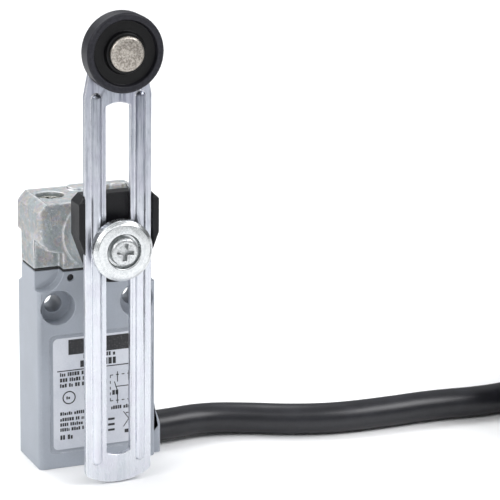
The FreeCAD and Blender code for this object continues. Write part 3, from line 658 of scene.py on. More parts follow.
@dataclass(frozen=True)
class Sheath(Finish):
    """Extruded cable sheath: satin skin with a soft chalky bloom and faint waviness."""

    colour: Colour = (0.008, 0.008, 0.011)
    bloom: Colour = (0.016, 0.016, 0.021)

    def nodes(self, shader: Shader) -> None:
        """Bloom on slow noise, and a skin of fine noise over waves 12 mm long.

        Args:
            shader: The material's tree that gets the nodes.
        """
        bloom = shader.noise(5 * MM, 4.0)
        skin = shader.noise(0.5 * MM, 3.0, roughness=0.65)
        shader.set(
            Base_Color=shader.mix(
                (bloom * 0.6 + skin * 0.4).rise(0.35, 0.7), self.colour, self.bloom
            ),
            Roughness=0.26 + 0.1 * bloom + 0.08 * skin,
            Specular_IOR_Level=0.5,
        )
        shader.bump(skin, 0.0015 * MM)
        shader.bump(shader.noise(12 * MM, 2.0), 0.1 * MM)


@dataclass(frozen=True)
class LabelFilm(Finish):
    """Satin polyester film with a trace of paper grain and handling marks."""

    colour: Colour = (0.64, 0.66, 0.71)
    shade: Colour = (0.54, 0.565, 0.62)

    def nodes(self, shader: Shader) -> None:
        """Slow clouds in the colour, a fine grain in the bump and the roughness.

        Args:
            shader: The material's tree that gets the nodes.
        """
        clouds = shader.noise(7 * MM, 4.0)
        grain = shader.noise(0.25 * MM, 2.0)
        shader.set(
            Base_Color=shader.mix(
                (0.7 * clouds + 0.3 * grain).rise(0.32, 0.62), self.shade, self.colour
            ),
            Roughness=0.34 + 0.14 * clouds + 0.06 * grain,
        )
        shader.bump(grain, 0.004 * MM)


@dataclass(frozen=True)
class PrintInk(Finish):
    """Black ink on film: slightly abraded through, a little glossier where it is thick."""

    colour: Colour = (0.018, 0.018, 0.02)
    wear_and_shade: Colour = (0.16, 0.16, 0.17)

    def nodes(self, shader: Shader) -> None:
        """Worn through in small flecks of noise.

        Args:
            shader: The material's tree that gets the nodes.
        """
        flecks = shader.noise(0.3 * MM, 3.0)
        shader.set(
            Base_Color=shader.mix(flecks.rise(0.55, 0.75), self.colour, self.wear_and_shade),
            Roughness=0.4 + 0.2 * flecks,
        )
        shader.bump(flecks, 0.002 * MM)


@dataclass(frozen=True)
class Resin(Finish):
    """Poured potting resin: glossy, dark, with small bubbles and slow flow marks."""

    colour: Colour = (0.018, 0.017, 0.016)

    def nodes(self, shader: Shader) -> None:
        """Bubbles from cells, flow marks from stretched noise.

        Args:
            shader: The material's tree that gets the nodes.
        """
        bubbles = shader.cells(1.7 * MM)
        flow = shader.noise(4 * MM, 3.0, (1.0, 1.0, 0.4))
        shader.set(
            Base_Color=shader.mix(flow.rise(0.3, 0.7), self.colour, (0.05, 0.045, 0.04)),
            Roughness=0.16 + 0.2 * flow,
        )
        shader.bump(bubbles.rise(0.0, 0.3), 0.05 * MM)


PAINT = StovedPaint("stoved_paint")
CASTING = RawCasting("raw_zinc_casting")
PLATE = PlatedSheet("bright_zinc_plate")
WASHER_STEEL = TurnedMetal("turned_clamp_steel", (0.72, 0.735, 0.74), (0.58, 0.60, 0.61),
                           centre=SHAFT_AXIS, roughness=0.2)
SCREW_STEEL = TurnedMetal("clamp_screw_steel", (0.70, 0.715, 0.72), (0.36, 0.375, 0.38),
                          centre=SHAFT_AXIS, pitch=0.5 * MM, roughness=0.22, grain=0.1)
SHAFT_STEEL = TurnedMetal("ground_shaft_steel", (0.6, 0.6, 0.61), (0.4, 0.4, 0.41),
                          centre=SHAFT_AXIS)
HEAD_SCREW_ZINC = TurnedMetal("yellow_passivated_screws", (0.42, 0.42, 0.37), (0.14, 0.14, 0.12),
                              axis=Along.Z, centre=(8.9 * MM, -7.2 * MM, 0.0), pitch=0.6 * MM,
                              roughness=0.26, grain=0.12, patch=0.8 * MM)
RIVET_STEEL = TurnedMetal("rivet_steel", (0.54, 0.50, 0.45), (0.24, 0.215, 0.19),
                          centre=ROLLER_AXIS, pitch=0.9 * MM, depth=0.006 * MM,
                          roughness=0.3, grain=0.1, patch=0.5 * MM)
BRONZE = TurnedMetal("sintered_bronze", (0.60, 0.40, 0.22), (0.36, 0.23, 0.13),
                     centre=SHAFT_AXIS, roughness=0.38, grain=0.2)
DARK_STEEL = DrawnWire("dark_phosphated_steel", (0.09, 0.09, 0.095), (0.03, 0.03, 0.032), 0.42)
SPRING_STEEL = DrawnWire("spring_wire", (0.62, 0.62, 0.64), (0.42, 0.41, 0.42), 0.24)
BRASS = DrawnWire("contact_brass", (0.78, 0.58, 0.26), (0.55, 0.38, 0.16), 0.26)
SILVER = DrawnWire("contact_silver", (0.90, 0.89, 0.87), (0.70, 0.69, 0.68), 0.2)
COPPER = DrawnWire("bare_copper", (0.86, 0.42, 0.24), (0.58, 0.26, 0.15), 0.3, Along.X)
HUB_NYLON = Moulding("black_glass_nylon", (0.004, 0.004, 0.0055), (0.07, 0.07, 0.08), 0.3,
                     gloss=0.24)
ROLLER_PLASTIC = RolledTread("black_roller_plastic")
NATURAL_NYLON = Moulding("natural_nylon", (0.74, 0.71, 0.62), (0.84, 0.82, 0.76), 0.44)
CARRIER_PLASTIC = Moulding("carrier_plastic", (0.55, 0.09, 0.05), (0.7, 0.3, 0.24), 0.4)
BLOCK_PLASTIC = Moulding("block_plastic", (0.12, 0.14, 0.17), (0.26, 0.28, 0.31), 0.4)
COVER_PLASTIC = Moulding("cover_plastic", (0.30, 0.33, 0.37), (0.48, 0.5, 0.54), 0.36)
TIE_NYLON = Moulding("tie_nylon", (0.02, 0.02, 0.021), (0.07, 0.07, 0.07), 0.34)
BLACK_RUBBER = Rubber("black_rubber")
SHEATH = Sheath("cable_sheath")
FILM = LabelFilm("label_film")
INK = PrintInk("label_ink")
RESIN = Resin("potting_resin")
CORE_FINISH = {
    "brown": Moulding("core_brown_skin", (0.13, 0.05, 0.025), (0.2, 0.1, 0.06), 0.34),
    "blue": Moulding("core_blue_skin", (0.02, 0.09, 0.38), (0.1, 0.2, 0.5), 0.34),
    "black": Moulding("core_black_skin", (0.014, 0.014, 0.015), (0.06, 0.06, 0.06), 0.34),
    "grey": Moulding("core_grey_skin", (0.22, 0.23, 0.24), (0.36, 0.37, 0.38), 0.34),
    "green": Moulding("core_green_skin", (0.04, 0.24, 0.07), (0.2, 0.4, 0.2), 0.34),
}

NODE_FINISH: dict[str, Finish] = {
    "body_casting": PAINT,
    "head_casting": CASTING,
    "head_gasket": BLACK_RUBBER,
    "head_screws": HEAD_SCREW_ZINC,
    "rating_label": FILM,
    "retaining_pin": DARK_STEEL,
    "shaft_bush": BRONZE,
    "shaft_seal": BLACK_RUBBER,
    "actuator_shaft": SHAFT_STEEL,
    "shaft_cam": NATURAL_NYLON,
    "shaft_circlip": SPRING_STEEL,
    "lever_hub": HUB_NYLON,
    "clamp_washer": WASHER_STEEL,
    "clamp_screw": SCREW_STEEL,
    "roller_lever": PLATE,
    "roller_rivet": RIVET_STEEL,
    "roller": ROLLER_PLASTIC,
    "cam_follower": NATURAL_NYLON,
    "block_plunger": CARRIER_PLASTIC,
    "contact_carrier": CARRIER_PLASTIC,
    "contact_block_base": BLOCK_PLASTIC,
    "contact_block_cover": COVER_PLASTIC,
    "plunger_seal": BLACK_RUBBER,
    "break_contacts": BRASS,
    "make_contacts": BRASS,
    "fixed_contact_tips": SILVER,
    "contact_bridge": BRASS,
    "bridge_tips": SILVER,
    "contact_spring": SPRING_STEEL,
    "return_spring": SPRING_STEEL,
    "core_brown": CORE_FINISH["brown"],
    "core_blue": CORE_FINISH["blue"],
    "core_black": CORE_FINISH["black"],
    "core_grey": CORE_FINISH["grey"],
    "core_earth": CORE_FINISH["green"],
    "earth_lug": BRASS,
    "earth_screw": SPRING_STEEL,
    "cable_ferrule": SPRING_STEEL,
    "potting_resin": RESIN,
    "cable": SHEATH,
    "cable_hank": SHEATH,
    "hank_ties": TIE_NYLON,
    "end_cores": CORE_FINISH["grey"],
}


# ---- mesh makers ------------------------------------------------------------------------------
def new_piece(
    name: str, points: np.ndarray, faces: Sequence[Sequence[int]],
    finish: Finish, body: Body, slot: str
) -> bpy.types.Object:
    """Makes a smooth-shaded mesh piece that rides on a body.

    Args:
        name: The piece's name.
        points: Its vertices, one row each, in metres.
        faces: The vertex numbers of each face, outwards.
        finish: Its finish.
        body: The body that it moves with.
        slot: The record's material slot; not used.

    Returns:
        The new object.
    """
    mesh = bpy.data.meshes.new(name)
    mesh.from_pydata(np.asarray(points, float).tolist(), [], [list(map(int, f)) for f in faces])
    mesh.update()
    mesh.polygons.foreach_set("use_smooth", np.ones(len(mesh.polygons), bool))
    mesh.set_sharp_from_angle(angle=math.radians(35))
    mesh.materials.append(finish.material())
    piece = bpy.data.objects.new(name, mesh)
    bpy.context.scene.collection.objects.link(piece)
    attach(piece, body.value)
    return piece


def grid_faces(rows: int, columns: int, closed_rows: bool) -> np.ndarray:
    """The quads of a grid of points that is closed round its columns.

    Point (i, j) is number i * columns + j. Each quad joins rows i and i + 1 and columns j
    and j + 1, counted round.

    Args:
        rows: The number of rings.
        columns: The number of points on a ring.
        closed_rows: Whether the last ring joins the first.

    Returns:
        One row of four vertex numbers for each quad.
    """
    i = np.arange(rows if closed_rows else rows - 1)[:, None]
    j = np.arange(columns)[None, :]
    a, b = i * columns, ((i + 1) % rows) * columns
    k = (j + 1) % columns
    return np.stack([a + j, a + k, b + k, b + j], -1).reshape(-1, 4)


def swept(
    path: np.ndarray, profile: np.ndarray, up: Point, closed: bool = False
) -> tuple[np.ndarray, list]:
    """A profile carried along a path: point = path + u * side + v * top.

    The tangent is the difference of the path's neighbours, side is tangent x up and top is
    side x tangent, so a profile that runs anticlockwise in (side, top) gives outward faces.

    Args:
        path: The path's points, one row each.
        profile: The profile's (u, v) points.
        up: A direction that the path never takes.
        closed: Whether the path closes on itself.

    Returns:
        The points and the faces, with flat caps where the path is open.
    """
    if closed:
        tangent = np.roll(path, -1, 0) - np.roll(path, 1, 0)
    else:
        tangent = np.gradient(path, axis=0)
    tangent /= np.linalg.norm(tangent, axis=1)[:, None]
    side = np.cross(tangent, np.asarray(up, float))
    side /= np.linalg.norm(side, axis=1)[:, None]
    top = np.cross(side, tangent)
    u, v = profile[:, 0][None, :, None], profile[:, 1][None, :, None]
    points = (path[:, None, :] + u * side[:, None, :] + v * top[:, None, :]).reshape(-1, 3)
    count = len(profile)
    faces = [tuple(f) for f in grid_faces(len(path), count, closed)]
    if not closed:
        faces.append(tuple(range(count))[::-1])
        faces.append(tuple(range(len(points) - count, len(points))))
    return points, [f[::-1] for f in faces]


def circle(radius: float, count: int) -> np.ndarray:
    """Points (radius cos t, radius sin t) round a circle, anticlockwise."""
    t = np.linspace(0, 2 * math.pi, count, endpoint=False)
    return np.stack([radius * np.cos(t), radius * np.sin(t)], -1)


def rounded_box(half_u: float, half_v: float, corner: float, per_corner: int = 4) -> np.ndarray:
    """A rectangle's outline with quarter circles for corners, anticlockwise.

    Args:
        half_u: Half the width.
        half_v: Half the height.
        corner: The corners' radius.
        per_corner: Steps in each corner.

    Returns:
        The outline's points, one row each.
    """
    t = np.linspace(0, math.pi / 2, per_corner + 1)
    turns = np.concatenate([t + k * math.pi / 2 for k in range(4)])
    middle = np.repeat(
        np.array([(1, 1), (-1, 1), (-1, -1), (1, -1)], float) * (half_u - corner, half_v - corner),
        per_corner + 1, axis=0,
    )
    return middle + corner * np.stack([np.cos(turns), np.sin(turns)], -1)


def joined(parts: Sequence[tuple[np.ndarray, Sequence]]) -> tuple[np.ndarray, list]:
    """Several (points, faces) as one, with the later faces' numbers moved up.

    Args:
        parts: The pieces' points and faces.

    Returns:
        All the points, and all the faces.
    """
    points, faces, first = [], [], 0
    for some, quads in parts:
        points.append(np.asarray(some, float))
        faces += [tuple(int(n) + first for n in f) for f in quads]
        first += len(some)
    return np.concatenate(points), faces


def smooth_line(points: np.ndarray) -> np.ndarray:
    """The line of a NURBS spline with those control points, as Blender works it out.

    Args:
        points: Control points, one row each, in metres.

    Returns:
        The points of the line.
    """
    curve = nurbs_curve("line", points)
    holder = bpy.data.objects.new("line", curve)
    mesh = bpy.data.meshes.new_from_object(holder)
    line = np.zeros(len(mesh.vertices) * 3)
    mesh.vertices.foreach_get("co", line)
    bpy.data.objects.remove(holder)
    bpy.data.curves.remove(curve)
    bpy.data.meshes.remove(mesh)
    return line.reshape(-1, 3)


def nurbs_curve(name: str, points: np.ndarray) -> bpy.types.Curve:
    """A curve of one open NURBS spline of order 3 that ends at its end points.

    Args:
        name: The curve's name.
        points: Control points, one row each, in metres.

    Returns:
        The curve, with no thickness.
    """
    curve = bpy.data.curves.new(name, "CURVE")
    curve.dimensions = "3D"
    spline = curve.splines.new("NURBS")
    spline.points.add(len(points) - 1)
    spline.points.foreach_set("co", np.c_[points, np.ones(len(points))].astype(np.float32).ravel())
    spline.order_u = 3
    spline.use_endpoint_u = True
    spline.resolution_u = CURVE_STEPS
    spline.use_smooth = True
    return curve


# ---- sub-assemblies ---------------------------------------------------------------------------
@dataclass
class NodeCopy:
    """A piece made from a frame node's own shape, which it then stands for."""

    node: str
    slot: str
    body: Body
    crease: float = 32.0

    def build(self) -> bpy.types.Object:
        """Copies the node and merges the copy's doubled corners and split flats.

        Returns:
            The piece that stands for the node.
        """
        mesh = bpy.data.objects[self.node].data.copy()
        mesh.name = self.node + "_shape"
        shell = bmesh.new()
        shell.from_mesh(mesh)
        bmesh.ops.remove_doubles(shell, verts=shell.verts, dist=1e-6)
        bmesh.ops.dissolve_limit(
            shell, angle_limit=math.radians(0.6), verts=shell.verts, edges=shell.edges
        )
        shell.to_mesh(mesh)
        shell.free()
        mesh.polygons.foreach_set("use_smooth", np.ones(len(mesh.polygons), bool))
        mesh.set_sharp_from_angle(angle=math.radians(self.crease))
        mesh.materials.clear()
        mesh.materials.append(NODE_FINISH[self.node].material())
        piece = bpy.data.objects.new(self.node + "_shape", mesh)
        bpy.context.scene.collection.objects.link(piece)
        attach(piece, self.body.value)
        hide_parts(self.node)
        return piece


@dataclass
class EasedPart(NodeCopy):
    """A node's shape with its hard edges eased by a small radius."""

    ease: float = 0.15 * MM
    steps: int = 2
    hard: float = 44.0

    def build(self) -> bpy.types.Object:
        """Adds a bevel to the copy.

        Returns:
            The eased piece.
        """
        piece = super().build()
        bevel = piece.modifiers.new("ease", "BEVEL")
        bevel.width = self.ease
        bevel.segments = self.steps
        bevel.limit_method = "ANGLE"
        bevel.angle_limit = math.radians(self.hard)
        bevel.use_clamp_overlap = False
        bevel.harden_normals = True
        bevel.miter_outer = "MITER_ARC"
        return piece


@dataclass
class CoilSpring(NodeCopy):
    """A coil spring copied from its node, with a mesh of its own; its joint, foot and keep are
    given but not used.
    """

    joint: str = "plunger_travel"
    foot: tuple[float, float, float] = (0.0, 0.0, 0.0)
    keep: float = 0.9

    def build(self) -> bpy.types.Object:
        """Gives the copy a mesh of its own.

        Returns:
            The spring.
        """
        piece = super().build()
        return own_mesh(piece)


@dataclass
class Group:
    """Parts that are built together."""

    parts: list[NodeCopy]

    def build(self) -> None:
        """Builds each part."""
        for part in self.parts:
            part.build()


@dataclass
class Casing(Group):
    """Body, head and what shows of their fittings."""

    parts: list[NodeCopy] = field(default_factory=lambda: [
        EasedPart("body_casting", "body_paint", Body.HOUSING, ease=0.22 * MM),
        EasedPart("head_casting", "head_zinc", Body.HOUSING, ease=0.28 * MM),
        EasedPart("head_screws", "zinc_screws", Body.HOUSING, ease=0.12 * MM),
        EasedPart("head_gasket", "black_rubber", Body.HOUSING, ease=0.08 * MM),
        EasedPart("rating_label", "label_film", Body.HOUSING, ease=0.04 * MM),
        EasedPart("retaining_pin", "dark_steel", Body.HOUSING, ease=0.12 * MM),
        EasedPart("shaft_bush", "bronze", Body.HOUSING),
    ])


@dataclass
class LeverGroup(Group):
    """Hub, clamp, lever, roller and rivet."""

    parts: list[NodeCopy] = field(default_factory=lambda: [
        EasedPart("lever_hub", "black_nylon", Body.HUB, ease=0.3 * MM, steps=3),
        EasedPart("clamp_washer", "turned_steel", Body.HUB),
        EasedPart("clamp_screw", "zinc_screws", Body.HUB, ease=0.12 * MM),
        EasedPart("roller_lever", "plated_steel", Body.LEVER, ease=0.16 * MM),
        EasedPart("roller_rivet", "rivet_steel", Body.LEVER),
        EasedPart("roller", "roller_plastic", Body.ROLLER, ease=0.22 * MM, steps=3),
    ])


@dataclass
class ContactSprings(Group):
    """The return spring under the carrier, and the spring between the carrier and the bridge."""

    parts: list[NodeCopy] = field(default_factory=lambda: [
        CoilSpring("return_spring", "spring_steel", Body.HOUSING,
                   foot=(0.0, 0.0, -26.48 * MM), keep=0.62),
        CoilSpring("contact_spring", "spring_steel", Body.PLUNGER,
                   foot=(0.0, 0.0, -17.58 * MM), keep=0.91),
    ])


@dataclass
class LabelPrint:
    """Generic print: a solid header, rows of word blocks, a ring and a contact sign."""

    face_y: float = -15.9 * MM
    thickness: float = 0.025 * MM
    seed: int = 7

    def bar(self, x: Sequence[float], z: Sequence[float]) -> tuple[float, ...]:
        """A level bar as a stroke (x0, z0, x1, z1, width), in millimetres."""
        middle = (z[0] + z[1]) / 2
        return (x[0], middle, x[1], middle, z[1] - z[0])

    def word_row(
        self, rng: np.random.Generator, x: Sequence[float], z: float, height: float
    ) -> list:
        """A row of blocks the size of letters, with gaps after every few.

        Args:
            rng: The seeded source of widths.
            x: Where the row starts and may end.
            z: The row's lower edge.
            height: The blocks' height.

        Returns:
            The row's strokes.
        """
        strokes, at, word = [], x[0], int(rng.integers(2, 7))
        while at < x[1] - 0.5 * height:
            width = height * float(rng.uniform(0.34, 0.62))
            lift = height * float(rng.choice([0.0, 0.0, 0.22]))
            strokes.append(self.bar((at, at + width), (z, z + height - lift)))
            at += width + 0.16 * height
            word -= 1
            if word == 0:
                at, word = at + 0.45 * height, int(rng.integers(2, 7))
        return strokes

    def ring(self, x: float, z: float, radius: float, width: float, sides: int = 20) -> list:
        """A ring as short strokes.

        Args:
            x: The middle's x.
            z: The middle's z.
            radius: The ring's radius.
            width: The strokes' width.
            sides: Strokes in the ring.

        Returns:
            The ring's strokes.
        """
        t = np.linspace(0, 2 * math.pi, sides + 1)
        px, pz = x + radius * np.cos(t), z + radius * np.sin(t)
        return [(px[k], pz[k], px[k + 1], pz[k + 1], width) for k in range(sides)]

    def contact_sign(self, x: float, z: float, size: float) -> list:
        """Two contacts, one closed and one open, in a dashed frame.

        Args:
            x: The middle's x.
            z: The middle's z.
            size: The frame's side.

        Returns:
            The sign's strokes.
        """
        thin, dash = 0.22, size / 9
        strokes = []
        dashes = [(2 * k * dash - size / 2, (2 * k + 1) * dash - size / 2) for k in range(5)]
        for level in (z - size / 2, z + size / 2):
            strokes += [(x + a, level, x + b, level, thin) for a, b in dashes]
        for side in (x - size / 2, x + size / 2):
            strokes += [(side, z + a, side, z + b, thin) for a, b in dashes]
        for dx, lean in ((-0.22, 0.0), (0.22, 0.14)):
            cx = x + dx * size
            strokes.append((cx, z + 0.22 * size, cx, z + 0.62 * size, thin))
            strokes.append((cx, z - 0.62 * size, cx, z - 0.14 * size, thin))
            strokes.append((cx, z - 0.14 * size, cx + (lean - 0.12) * size, z + 0.24 * size, thin))
        strokes.append((x - 0.3 * size, z + 0.04 * size, x + 0.3 * size, z + 0.04 * size, thin))
        return strokes

    def strokes(self) -> list:
        """All the print's strokes (x0, z0, x1, z1, width), in millimetres.

        Returns:
            The strokes.
        """
        rng = np.random.default_rng(self.seed)
        rows = [self.bar((-7.5, 8.5), (-12.1, -8.3)), self.bar((-10.4, 8.9), (-16.15, -15.9))]
        rows += self.word_row(rng, (-3.7, 4.8), -13.35, 1.0)
        rows += self.word_row(rng, (-4.5, 5.4), -15.5, 1.65)
        for z, end in ((-17.4, 2.0), (-18.8, 1.2), (-20.2, 1.6)):
            rows += self.word_row(rng, (-9.7, end), z, 0.95)
        rows += self.ring(-7.4, -22.9, 1.55, 0.3)
        rows += self.word_row(rng, (-8.1, -6.8), -23.3, 0.75)
        for z, end in ((-27.3, -0.2), (-28.8, 0.4), (-30.1, 0.1), (-31.4, -1.6)):
            rows += self.word_row(rng, (-9.7, end), z, 0.85)
        rows += self.word_row(rng, (-9.7, -5.4), -33.5, 1.15)
        rows += self.contact_sign(6.5, -21.8, 6.6)
        rows += self.word_row(rng, (3.7, 5.6), -23.6, 1.2)
        rows += self.word_row(rng, (3.4, 9.4), -27.3, 0.9)
        rows += [self.bar((2.6, 4.3), (z, z + 0.55)) for z in (-30.0, -31.4, -32.8)]
        rows += [(6.6, -32.1, 9.4, -28.2, 0.2), (6.6, -28.2, 9.4, -32.1, 0.2)]
        rows += [(7.2, -28.6, 9.0, -28.6, 0.25)]
        rows += [self.bar((6.9, 9.2), (-33.7, -32.8))]
        return rows

    def build(self) -> None:
        """Each stroke is a box: its middle, plus or minus half its length, width and thickness."""
        data = np.array(self.strokes(), float) * MM
        start, end, width = data[:, [0, 1]], data[:, [2, 3]], data[:, 4]
        run = end - start
        length = np.linalg.norm(run, axis=1)
        run = run / length[:, None]
        across = np.stack([-run[:, 1], run[:, 0]], -1)
        signs = np.array([(-1, -1), (1, -1), (1, 1), (-1, 1)], float)
        flat = (
            ((start + end) / 2)[:, None, :]
            + signs[None, :, :1] * (run * length[:, None] / 2)[:, None, :]
            + signs[None, :, 1:] * (across * width[:, None] / 2)[:, None, :]
        )
        count = len(data)
        back = np.full((count, 4), self.face_y + 0.005 * MM)
        front = np.full((count, 4), self.face_y - self.thickness)
        points = np.concatenate(
            [
                np.stack([flat[..., 0], front, flat[..., 1]], -1),
                np.stack([flat[..., 0], back, flat[..., 1]], -1),
            ],
            axis=1,
        ).reshape(-1, 3)
        one = np.array([
            (0, 1, 2, 3), (7, 6, 5, 4), (0, 4, 5, 1), (1, 5, 6, 2), (2, 6, 7, 3), (3, 7, 4, 0),
        ])
        faces = (one[None] + 8 * np.arange(count)[:, None, None]).reshape(-1, 4)
        new_piece("label_print", points, faces, INK, Body.HOUSING, "label_film")


@dataclass
class PrewiredCable:
    """The moulded-in cable: its free stretch, and the rest as a tied hank of flat oval turns."""

    diameter: float = 7.8 * MM
    length: float = 2.0
    leaves_at: tuple[float, float, float] = (17.15 * MM, -8.0 * MM, -36.1 * MM)
    lie: float = -36.8
    inner_turn: float = 23.4
    left_end: float = 143.0
    right_end: float = 190.0
    hank_y: float = -40.2
    sheath_end: float = 175.0
    turns: int = 7
    arc_points: int = 6
    window: float = 70.0
    stagger: float = 21.0
    lead_in: float = 8.0
    route: list[tuple[float, float, float]] = field(default_factory=lambda: [
        (5.0, -8.0, -36.1),
        (19.5, -8.0, -36.1),
        (31.5, -6.0, -36.3),
        (42.5, -8.7, -36.8),
        (52.5, -13.9, -36.8),
        (63.5, -17.2, -36.8),
        (77.0, -17.7, -36.8),
        (91.0, -17.2, -36.8),
        (105.5, -19.2, -36.8),
        (119.0, -17.2, -36.8),
        (131.5, -11.3, -36.8),
    ])

    def one_turn(
        self, column: int, layer: int, to_column: int, to_layer: int, start: float
    ) -> np.ndarray:
        """One oval turn, clockwise from above, from the back run's left end.

        A point on it is the oval's line, moved out by the turn's radius. From `start`
        millimetres after the right loop's beginning, over `window` millimetres, the radius
        and the height pass by a smooth step to the next turn's column and layer.

        Args:
            column: 0 for the inner column and 1 for the outer, where the turn begins.
            layer: The layer where the turn begins.
            to_column: The column where it ends.
            to_layer: The layer where it ends.
            start: Where the change begins.

        Returns:
            Control points, one row each, in millimetres.
        """
        pitch = self.diameter / MM
        run = self.right_end - self.left_end
        step = math.pi / self.arc_points
        mean = self.inner_turn + pitch / 2
        half = np.arange(self.arc_points) * step + step / 2
        spread = np.linspace(0, 1, 5)[1:-1]
        back_x = self.left_end + run * np.r_[0.0, spread, 1.0]
        front_x = self.right_end - run * np.r_[0.0, spread, 1.0]
        centre_x = np.r_[back_x, np.full(len(half), self.right_end), front_x,
                         np.full(len(half), self.left_end)]
        out_x = np.r_[np.zeros(len(back_x)), np.sin(half), np.zeros(len(front_x)), -np.sin(half)]
        out_y = np.r_[np.ones(len(back_x)), np.cos(half), -np.ones(len(front_x)), -np.cos(half)]
        swell = np.where(out_x == 0, 1.0, 1 / math.cos(step / 2))
        gone = np.r_[
            np.full(len(back_x), -1.0),
            mean * half,
            mean * math.pi + (self.right_end - front_x),
            mean * math.pi + run + mean * half,
        ]
        part = np.clip((gone - start) / self.window, 0, 1)
        part = part * part * (3 - 2 * part)
        radius = self.inner_turn + pitch * (column + (to_column - column) * part)
        height = self.lie + pitch * (layer + (to_layer - layer) * part)
        return np.stack(
            [centre_x + swell * radius * out_x, self.hank_y + swell * radius * out_y, height], -1
        )

    def control_points(self) -> np.ndarray:
        """The route, then the turns, then the last run, in metres.

        Returns:
            The spline's control points, one row each.
        """
        places = [(1, 0), (0, 0), (0, 1), (1, 1), (1, 2), (0, 2), (0, 3), (1, 3)]
        rows = [np.array(self.route)]
        for k in range(self.turns):
            start = self.lead_in + (self.turns - 1 - k) * self.stagger
            rows.append(self.one_turn(*places[k], *places[k + 1], start))
        top = self.lie + (self.diameter / MM) * places[-1][1]
        back = self.hank_y + self.inner_turn + self.diameter / MM
        last = np.array([(x, back, top) for x in np.linspace(self.left_end, self.sheath_end, 4)])
        return np.concatenate(rows + [last]) * MM

    def sheath(self) -> bpy.types.Object:
        """The cable as a round curve of one spline.

        Returns:
            The sheath's piece.
        """
        curve = nurbs_curve("cable_sheath", self.control_points())
        curve.bevel_depth = self.diameter / 2
        curve.bevel_resolution = 8
        curve.use_fill_caps = True
        curve.materials.append(SHEATH.material())
        piece = bpy.data.objects.new("cable_sheath", curve)
        bpy.context.scene.collection.objects.link(piece)
        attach(piece, Body.HOUSING.value)
        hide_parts("cable", "cable_hank")
        return piece

    def build(self) -> None:
        sheath = self.sheath()
        pitch = self.diameter / MM
        layers = self.turns // 2
        side = self.inner_turn + pitch / 2
        middle = (self.left_end + self.right_end) / 2
        start = (self.sheath_end, self.hank_y + self.inner_turn + pitch, self.lie + layers * pitch)
        levels = (self.lie - pitch / 2, self.lie + (layers + 0.5) * pitch)
        cores = CoreEnds(start).build()
        ties = [
            CableTie(name, (middle, self.hank_y + y), levels, pitch).build()
            for name, y in (("front", -side), ("rear", side))
        ]
        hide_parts("end_cores")
        for tie in ties:
            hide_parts("hank_ties")
        cores + ties


@dataclass
class CoreEnds:
    """Five cores that leave the sheath and rest on the turns below, with bare twisted tips."""

    start: tuple[float, float, float]
    radius: float = 0.95
    ring: float = 2.0
    drop: float = 3.9
    strand_radius: float = 0.25
    strand_ring: float = 0.5
    strand_twist: float = 14.0
    cores: list[tuple[str, float, float, float]] = field(default_factory=lambda: [
        ("brown", 1.6, 207.0, 0.2),
        ("blue", -0.6, 209.0, 0.0),
        ("black", -2.8, 205.5, 0.0),
        ("grey", 3.8, 203.0, 0.2),
        ("green", -5.0, 201.5, 0.0),
    ])

    def strands(self, tip: Point) -> list[tuple[np.ndarray, list]]:
        """Seven strands from a core's tip, six of them wound round the first.

        Args:
            tip: The end of the core's skin, in millimetres.

        Returns:
            The strands' points and faces.
        """
        along = np.linspace(-1.0, 6.5, 22)
        wires = []
        for wire in range(7):
            turn = 2 * math.pi * (wire / 6 + along / self.strand_twist)
            reach = 0.0 if wire == 6 else self.strand_ring
            path = np.stack(
                [tip[0] + along, tip[1] + reach * np.cos(turn), tip[2] + reach * np.sin(turn)], -1
            )
            wires.append(swept(path * MM, circle(self.strand_radius * MM, 8), (0, 0, 1)))
        return wires

    def build(self) -> list[bpy.types.Object]:
        """Lays each core on its lane; a row of cores holds its name, lane, tip and lift.

        Returns:
            The cores' pieces and the bare strands' piece.
        """
        x0, y0, z0 = self.start
        rest = z0 - self.drop + self.radius
        pieces, strands = [], []
        for k, (name, lane, end, lift) in enumerate(self.cores):
            angle = 2 * math.pi * k / len(self.cores) + math.pi / 2
            y, z = y0 + self.ring * math.cos(angle), z0 + self.ring * math.sin(angle)
            low = rest + lift
            control = np.array([
                (x0 - 4, y, z), (x0 + 3, y, z), (x0 + 10, y0 + lane * 0.7, (z + low) / 2),
                (x0 + 18, y0 + lane, low), (end - 6, y0 + lane, low), (end, y0 + lane, low),
            ]) * MM
            skin = swept(smooth_line(control), circle(self.radius * MM, 14), (0, 0, 1))
            pieces.append(new_piece(
                f"end_core_{name}", *skin, CORE_FINISH[name], Body.HOUSING, f"core_{name}"
            ))
            strands += self.strands((end, y0 + lane, low))
        pieces.append(new_piece(
            "end_core_strands", *joined(strands), COPPER, Body.HOUSING, "contact_brass"
        ))
        return pieces


